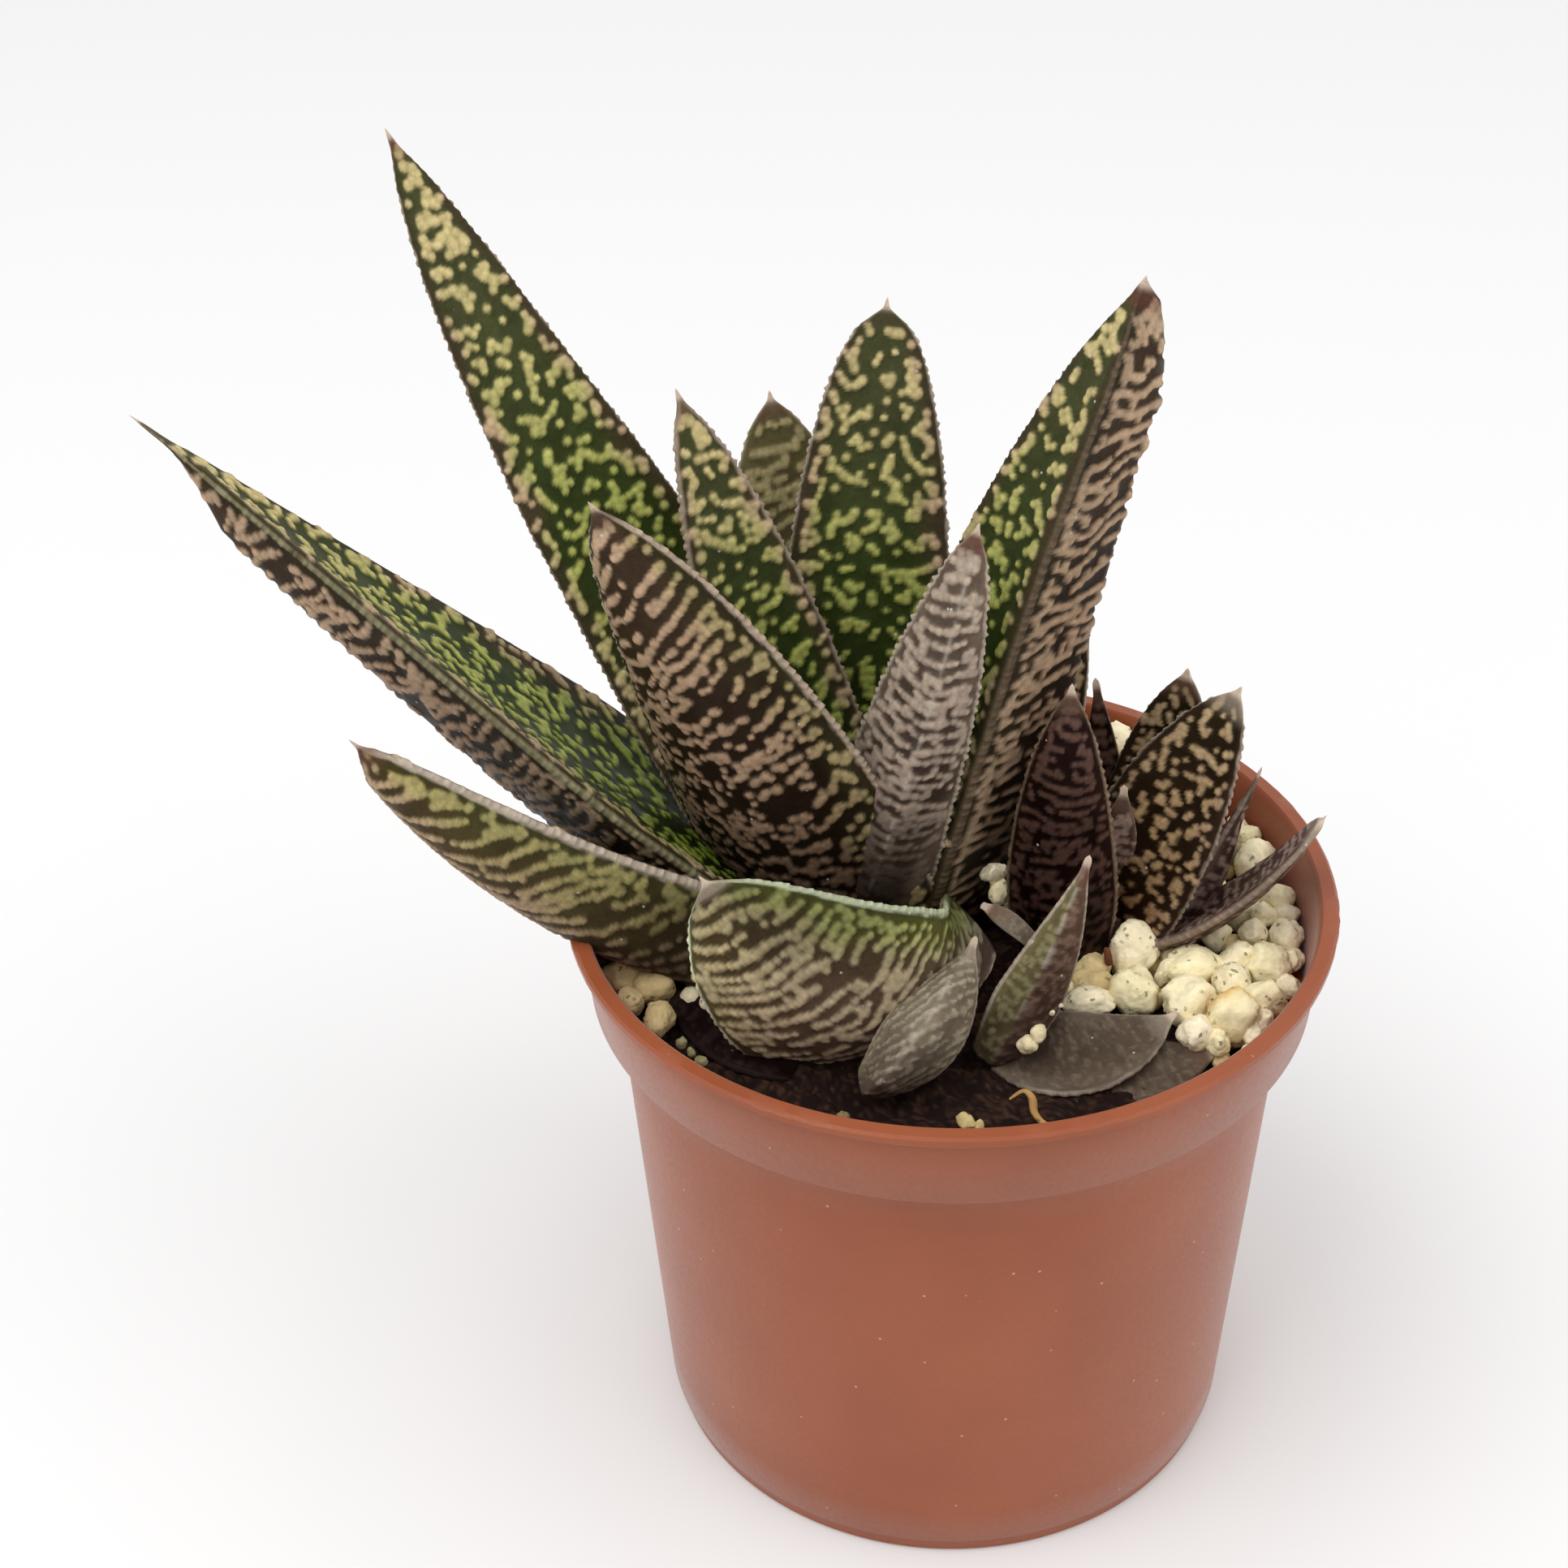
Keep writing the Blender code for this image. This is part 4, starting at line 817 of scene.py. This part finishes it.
# Soil and pumice
def pot_inner_radius(z):
    if z < SHOULDER_Z:
        return BODY_FOOT_RADIUS + (BODY_TOP_RADIUS - BODY_FOOT_RADIUS) * z / SHOULDER_Z - WALL
    if z < COLLAR_FOOT_Z:
        share = (z - SHOULDER_Z) / (COLLAR_FOOT_Z - SHOULDER_Z)
        return BODY_TOP_RADIUS + (COLLAR_FOOT_RADIUS - BODY_TOP_RADIUS) * share - WALL
    share = (z - COLLAR_FOOT_Z) / (POT_HEIGHT - COLLAR_FOOT_Z)
    return COLLAR_FOOT_RADIUS + (COLLAR_TOP_RADIUS - COLLAR_FOOT_RADIUS) * share - WALL


def soil_height(x, y):
    bumps = 0.9 * (value_noise(x * 0.5 + 60, y * 0.5 + 60, 41) - 0.5)
    bumps += 0.7 * (value_noise(x * 1.3 + 90, y * 1.3 + 90, 42) - 0.5)
    bumps += 0.4 * (value_noise(x * 3.1 + 200, y * 3.1 + 200, 43) - 0.5)
    return SOIL_LEVEL + SOIL_RISE * np.maximum(0, y) + bumps


def soil_piece():
    rings, steps = 74, 330
    radii = np.linspace(0.5, 1.0, rings)
    angles = np.linspace(0, 2 * np.pi, steps, endpoint=False)
    reach = np.array([pot_inner_radius(SOIL_LEVEL + SOIL_RISE * max(0, 37 * math.sin(a)) - 0.2) - 0.1 for a in angles])
    share = np.linspace(0, 1, rings)[:, None]
    r = 1.0 + (reach[None, :] - 1.0) * share
    x, y = r * np.cos(angles), r * np.sin(angles)
    z = soil_height(x, y)
    # where the bumps dip to the pot's shoulder, the soil draws in with the wall
    wall_radius = np.vectorize(pot_inner_radius)
    inside = np.minimum(1.0, (wall_radius(z - 0.3) - 0.15) / r)
    x, y = x * inside, y * inside
    top = np.stack([x, y, z], axis=-1)
    # below its edge the soil first comes in over the shoulder, then goes down beside the wall
    below_edge = np.minimum(z[-1], SHOULDER_Z) - 0.1
    sides = []
    for height in (below_edge, np.full(steps, FLOOR + 0.3)):
        side_r = wall_radius(height) - 0.3
        sides.append(np.stack([side_r * np.cos(angles), side_r * np.sin(angles), height], axis=-1))
    points = np.concatenate([top, np.array(sides)], axis=0)
    rows = rings + 2
    i = np.arange(rows - 1)[:, None] * steps
    j = np.arange(steps)[None, :]
    k = (j + 1) % steps
    quads = np.stack([i + j, i + k, i + steps + k, i + steps + j], axis=-1).reshape(-1, 4)
    flat = np.vstack([points.reshape(-1, 3), (0, 0, SOIL_LEVEL), (0, 0, FLOOR + 0.3)])
    ring = np.arange(steps)
    last = (rows - 1) * steps
    faces = [f for f in quads]
    faces += [np.array((b, a, len(flat) - 2)) for a, b in zip(ring, np.roll(ring, -1))]
    faces += [np.array((last + a, last + b, len(flat) - 1)) for a, b in zip(ring, np.roll(ring, -1))]
    tone = value_noise(flat[:, 0] * 2.3 + 100, flat[:, 1] * 2.3 + 100, 44)
    colours = mix(rgb(22, 7, 4), rgb(64, 42, 30), smooth(0.45, 0.95, tone))
    return outward_faces(grid_mesh("soil_look", flat, faces, colours))


CREAM = rgb(247, 234, 197)
# A darker tan: the pumice's cream as painted shade, for grains that lie in shade and those deep between others.
PAINTED_SHADE_TAN = rgb(214, 190, 140)
OCHRE = rgb(226, 184, 104)
MOSSY = rgb(150, 142, 104)
BROWN = rgb(96, 62, 44)
DUST = rgb(226, 212, 176)


def stone(centre, radius, draw, subdivisions=3, shape=(1.0, 1.0, 1.0), lobes=7, tone=None, stain=None, turned=None):
    """One pumice grain: rounded lumps that meet in soft creases. Its vertices, faces and tones."""
    bm = bmesh.new()
    bmesh.ops.create_icosphere(bm, subdivisions=subdivisions, radius=1.0)
    spin = draw.uniform(0, 6.28) if turned is None else turned
    turn = Matrix.Rotation(spin, 3, "Z") @ Matrix.Rotation(draw.gauss(0, 0.25), 3, "X")
    stretch = [s * draw.uniform(0.9, 1.12) for s in shape]
    offset = Vector((draw.uniform(0, 50), draw.uniform(0, 50), draw.uniform(0, 50)))
    bumps = []
    for k in range(lobes):
        direction = Vector((draw.gauss(0, 1), draw.gauss(0, 1), draw.gauss(0.2, 0.9))).normalized()
        bumps.append((direction, draw.uniform(0.15, 0.42), draw.uniform(0.4, 0.95)))
    cuts = []
    for k in range(9):
        direction = Vector((draw.gauss(0, 1), draw.gauss(0, 1), draw.gauss(0, 0.9))).normalized()
        cuts.append((direction, draw.uniform(0.74, 0.98)))
    warm = draw.uniform(-0.05, 0.04)
    base = Vector(tone) if tone else Vector(CREAM) * (1 + 0.6 * warm)
    base.z *= 1 + 2 * warm
    points, tones = [], []
    for vert in bm.verts:
        d = vert.co.normalized()
        size = 0.8
        for direction, height, reach in bumps:
            angle = math.acos(max(-1.0, min(1.0, d.dot(direction))))
            size = max(size, 0.8 + height * math.cos(0.5 * math.pi * min(1.0, angle / reach / 1.3)) ** 0.7)
        for direction, reach in cuts:
            facing = d.dot(direction)
            if facing > 0.3:
                size = min(size, 0.25 * size + 0.75 * reach / facing)
        rough = noise.noise(d * 2.2 * radius + offset)
        size += 0.07 * rough + 0.1 * noise.noise(d * 1.3 + offset) + 0.06 * noise.noise(d * 3.4 * radius + offset)
        p = Vector((d.x * stretch[0], d.y * stretch[1], d.z * stretch[2])) * radius * size
        points.append(turn @ p + Vector(centre))
        # The tone is lighter on the lumps and darker in the creases and on the cut faces: painted light and shade,
        # with a random part from rough.
        shade = 0.97 + 0.1 * rough + 0.3 * (size - 0.95)
        own = base
        if stain:
            side, colour = stain
            own = base.lerp(Vector(colour), float(smooth(-0.1, 0.7, d.dot(Vector(side).normalized()) + 0.4 * rough)))
        tones.append(tuple(min(1.0, c * shade) for c in own))
    faces = [tuple(v.index for v in f.verts) for f in bm.faces]
    bm.free()
    return points, faces, tones


def strand(places, radius, tone, sides=5, flat=1.0):
    """A thin thread or curl through the given places."""
    places = [Vector(p) for p in places]
    line = []
    for a, b, c, d in zip([places[0]] + places[:-2], places[:-1], places[1:], places[2:] + [places[-1]]):
        for k in range(6):
            t = k / 6
            line.append(0.5 * (2 * b + (c - a) * t + (2 * a - 5 * b + 4 * c - d) * t * t + (3 * b - a - 3 * c + d) * t ** 3))
    line.append(places[-1])
    points, faces, tones = [], [], []
    for number, place in enumerate(line):
        ahead = (line[min(number + 1, len(line) - 1)] - line[max(number - 1, 0)]).normalized()
        wide = ahead.cross(Vector((0, 0, 1))).normalized()
        high = wide.cross(ahead)
        own = radius * (0.35 + 0.65 * math.sin(math.pi * min(1.0, (number + 0.6) / len(line))))
        for k in range(sides):
            angle = 2 * math.pi * k / sides
            points.append(place + wide * own * math.cos(angle) + high * own * flat * math.sin(angle))
            tones.append(tone)
    for number in range(len(line) - 1):
        for k in range(sides):
            a, b = number * sides + k, number * sides + (k + 1) % sides
            faces.append((a, b, b + sides, a + sides))
    faces.append(tuple(range(sides)))
    faces.append(tuple(reversed(range((len(line) - 1) * sides, len(line) * sides))))
    return points, faces, tones


def joined(name, stones):
    points, faces, tones = [], [], []
    for own_points, own_faces, own_tones in stones:
        start = len(points)
        points += [tuple(p) for p in own_points]
        tones += own_tones
        faces += [np.array([start + k for k in f]) for f in own_faces]
    return grid_mesh(name, np.array(points), faces, np.array(tones))


def pumice_level(y):
    return PUMICE_FRONT_LEVEL + PUMICE_RISE * max(0.0, y + 5)


# Grains that the photograph shows: x, y and radius, then what is special about them
SHOWN_GRAINS = (
    (20.6, -2.4, 2.6, dict(lobes=10)), (20.3, -9.3, 2.6, dict(lobes=3, shape=(1, 0.95, 1.1))),
    (15.8, -4.6, 1.9, dict(lobes=4, tone=PAINTED_SHADE_TAN)), (16.2, -7.4, 1.8, dict(lobes=3, tone=PAINTED_SHADE_TAN, shape=(1.2, 1, 0.8))),
    (15.6, -10.4, 2.3, dict(lobes=4, shape=(1.2, 0.9, 0.8), turned=0.1)),
    (24.0, -5.0, 1.35, dict(lobes=3, shape=(0.8, 0.9, 1.5))),
    (27.6, -4.3, 2.4, dict(lobes=4, shape=(1.25, 1, 0.85), turned=0.2, stain=((0.2, -0.5, -0.6), OCHRE))),
    (32.1, -3.0, 2.1, dict(lobes=4)), (26.0, -10.6, 2.7, dict(lobes=9)),
    (30.6, -13.4, 2.8, dict(lobes=4, stain=((0.9, -0.3, 0.1), OCHRE), shape=(1, 1, 1.05))),
    (34.0, -9.8, 2.2, dict(lobes=4)), (30.9, -7.4, 2.4, dict(lobes=5, shape=(1.2, 0.9, 0.85))),
    (35.3, -4.3, 2.4, dict(lobes=8)), (37.3, -6.9, 1.3, {}), (37.8, 0.6, 1.8, dict(lobes=9)),
    (37.8, 4.0, 1.3, {}), (38.1, -2.8, 1.3, {}), (37.9, 6.8, 1.8, dict(lobes=4)), (35.3, 3.7, 1.5, {}),
    (33.8, 1.2, 1.4, {}), (26.6, -15.6, 2.2, dict(lobes=6, shape=(1.1, 0.9, 0.8))),
    (28.9, -17.0, 1.4, {}),
    (32.6, -15.2, 1.2, {}), (33.9, -13.2, 1.3, {}), (35.0, 11.6, 2.4, dict(lobes=5)), (36.7, 14.0, 1.5, {}),
    (35.1, 16.6, 1.3, {}), (33.4, 18.4, 1.1, {}), (32.4, 13.8, 1.5, dict(tone=MOSSY)), (20.8, 33.2, 2.1, {}),
    (-35.8, -8.2, 2.0, dict(tone=PAINTED_SHADE_TAN, shape=(0.9, 1.3, 1))), (-32.6, -9.6, 1.9, dict(tone=PAINTED_SHADE_TAN)),
    (-34.6, -12.0, 1.4, dict(tone=PAINTED_SHADE_TAN)), (-31.4, -14.6, 1.7, dict(tone=PAINTED_SHADE_TAN)),
)

# Crumbs and scraps that lie loose: place, radius and what is special about them
CRUMBS = (
    ((5.0, 1.3, 71.7), 1.6, dict(shape=(0.9, 0.8, 1.25), lobes=5, turned=0.2)),
    ((5.6, 0.8, 69.3), 1.5, dict(shape=(0.9, 0.9, 1.1), lobes=5, turned=0.0)),
    ((24.6, -9.2, 64.4), 1.05, dict(tone=BROWN, shape=(1.3, 1, 0.6))),
    ((17.6, -5.2, 65.2), 0.75, dict(tone=rgb(112, 66, 46), shape=(0.7, 0.7, 2.0))),
    ((9.7, -17.9, 64.9), 1.25, dict(shape=(1.0, 0.8, 0.9), tone=DUST)),
    ((8.6, -18.8, 63.8), 1.2, dict(shape=(1.0, 0.9, 1.0), tone=DUST)),
    ((11.0, -16.6, 66.5), 0.45, dict(tone=DUST)), ((11.9, -16.0, 67.1), 0.35, dict(tone=DUST)),
    ((2.0, -28.6, 61.4), 1.15, dict(tone=rgb(196, 176, 128), shape=(1.3, 0.8, 0.7))),
    ((3.4, -28.9, 61.2), 0.7, dict(tone=rgb(196, 176, 128))),
    ((-10.8, -28.0, 61.2), 0.7, dict(tone=rgb(140, 120, 88))),
    ((-6.6, -29.6, 61.0), 0.6, dict(tone=rgb(120, 100, 74))),
    ((-28.6, -18.4, 62.6), 0.75, dict(tone=MOSSY)), ((-27.4, -19.6, 62.3), 0.6, dict(tone=MOSSY)),
    ((-26.2, -20.9, 62.2), 0.65, dict(tone=MOSSY)), ((-27.0, -11.5, 66.2), 0.9, dict(tone=PAINTED_SHADE_TAN, shape=(1.3, 1, 0.7))),
)
CURL = ((6.6, -26.2, 62.6), (8.0, -26.0, 63.6), (8.9, -26.8, 63.4), (9.2, -27.8, 62.2), (10.4, -28.8, 61.6), (12.2, -28.6, 61.9))


def pumice_piece():
    draw = random.Random(19)
    stones = []
    taken = []
    for x, y, r, special in SHOWN_GRAINS:
        reach = math.hypot(x, y)
        shrink = min(1.0, (pot_inner_radius(COLLAR_FOOT_Z) - 0.1 - r) / reach)
        x, y = x * shrink, y * shrink
        taken.append((x, y, r))
        stones.append(stone((x, y, pumice_level(y) + 0.45 * r), 1.16 * r, draw, 4, **special))
    tries = 0
    while len(taken) < 230 and tries < 30000:
        tries += 1
        angle = math.radians(draw.uniform(PUMICE_FROM, PUMICE_TO))
        reach = math.sqrt(draw.uniform(9 ** 2, 38.2 ** 2))
        x, y = reach * math.cos(angle), reach * math.sin(angle)
        r = draw.uniform(1.1, 2.5) if tries < 9000 else draw.uniform(0.7, 1.3)
        if reach + r > 39.2 or (y < -11 and x < 29):
            continue
        if all(math.hypot(x - a, y - b) > 0.78 * (r + c) for a, b, c in taken):
            taken.append((x, y, r))
            stones.append(stone((x, y, pumice_level(y) - 0.1 * r + draw.uniform(-0.3, 0.3)), r, draw))
    # small grains below fill what the larger ones leave open, in the darker tan of painted shade
    for number in range(260):
        angle = math.radians(draw.uniform(PUMICE_FROM, PUMICE_TO))
        reach = math.sqrt(draw.uniform(12 ** 2, 37.6 ** 2))
        x, y = reach * math.cos(angle), reach * math.sin(angle)
        if y < -11 and x < 29:
            continue
        stones.append(stone((x, y, pumice_level(y) - 1.3), draw.uniform(0.9, 1.5), draw, 2, tone=PAINTED_SHADE_TAN))
    stones += [stone(place, r, draw, 3, **special) for place, r, special in CRUMBS[2:]]
    stones.append(strand(CURL, 0.45, rgb(176, 136, 84), 6, 0.5))
    return joined("pumice_look", stones)


def loose_grain_piece():
    draw = random.Random(23)
    return joined("loose_grain_look", [stone(place, r, draw, 4, **special) for place, r, special in CRUMBS[:2]])


# Camera, floor and light
def place_camera():
    right = Vector((0.9978, 0.0622, -0.0229)).normalized()
    forward = Vector((-0.0643, 0.8244, -0.5624)).normalized()
    up = right.cross(forward).normalized()
    right = forward.cross(up)
    data = bpy.data.cameras.new("camera")
    data.sensor_width = 36
    data.lens = 3200 / 1932 * 36
    data.clip_start = 0.01
    data.clip_end = 20
    camera = bpy.data.objects.new("camera", data)
    bpy.context.scene.collection.objects.link(camera)
    turn = Matrix((right, up, -forward)).transposed().to_4x4()
    camera.matrix_world = Matrix.Translation(Vector((0, -232.75, 242.88)) * MM) @ turn
    bpy.context.scene.camera = camera


def studio():
    bm = bmesh.new()
    bmesh.ops.create_grid(bm, x_segments=2, y_segments=2, size=4.0)
    mesh = bpy.data.meshes.new("floor")
    bm.to_mesh(mesh)
    bm.free()
    floor = bpy.data.objects.new("floor", mesh)
    bpy.context.scene.collection.objects.link(floor)
    paper, tree, shader = new_material("white_paper", 0.9, 0.1)
    shader.inputs["Base Color"].default_value = (0.77, 0.77, 0.77, 1)
    mesh.materials.append(paper)
    world = bpy.data.worlds.new("soft_white")
    world.use_nodes = True
    world.node_tree.nodes["Background"].inputs["Color"].default_value = (1, 1, 1, 1)
    world.node_tree.nodes["Background"].inputs["Strength"].default_value = 0.92
    bpy.context.scene.world = world
    for name, place, size, power in (("key", (-0.45, -0.4, 1.15), 0.8, 6.5), ("fill", (0.7, -0.3, 0.9), 0.8, 2.8)):
        data = bpy.data.lights.new(name, "AREA")
        data.size = size
        data.energy = power
        lamp = bpy.data.objects.new(name, data)
        bpy.context.scene.collection.objects.link(lamp)
        lamp.location = place
        lamp.rotation_mode = "QUATERNION"
        lamp.rotation_quaternion = (Vector((0, 0, 0.06)) - Vector(place)).to_track_quat("-Z", "Y")
    bpy.context.scene.view_settings.view_transform = "Standard"


def main():
    place_camera()
    studio()
    fresh = leaf_material("warty_leaf", 0.42)
    for name in LEAVES:
        dress(leaf_piece(name), fresh, SLOTS.get(name, "leaf_dark" if name.startswith("pup") else "leaf_green"), name)
    dress(pot_piece(), pot_material(), "terracotta_plastic", "pot")
    dress(soil_piece(), grain_material("potting_mix_look", 0.9, 900, 0.35, 0.3), "potting_mix", "soil")
    porous = grain_material("porous_pumice", 0.85, 1300, 0.07, 0.3, 0.26)
    dress(pumice_piece(), porous, "pumice", "pumice")
    dress(loose_grain_piece(), porous, "pumice", "loose_grain")
    bark = grain_material("dry_stem", 0.8, 700, 0.2, 0.2)
    for name in ("stem_main", "stem_pup"):
        own = bpy.data.objects[name]
        paint(own.data, np.array([rgb(88, 68, 52)] * len(own.data.vertices)))
        for number in range(len(own.data.materials)):
            own.material_slots[number].material = bark


main()
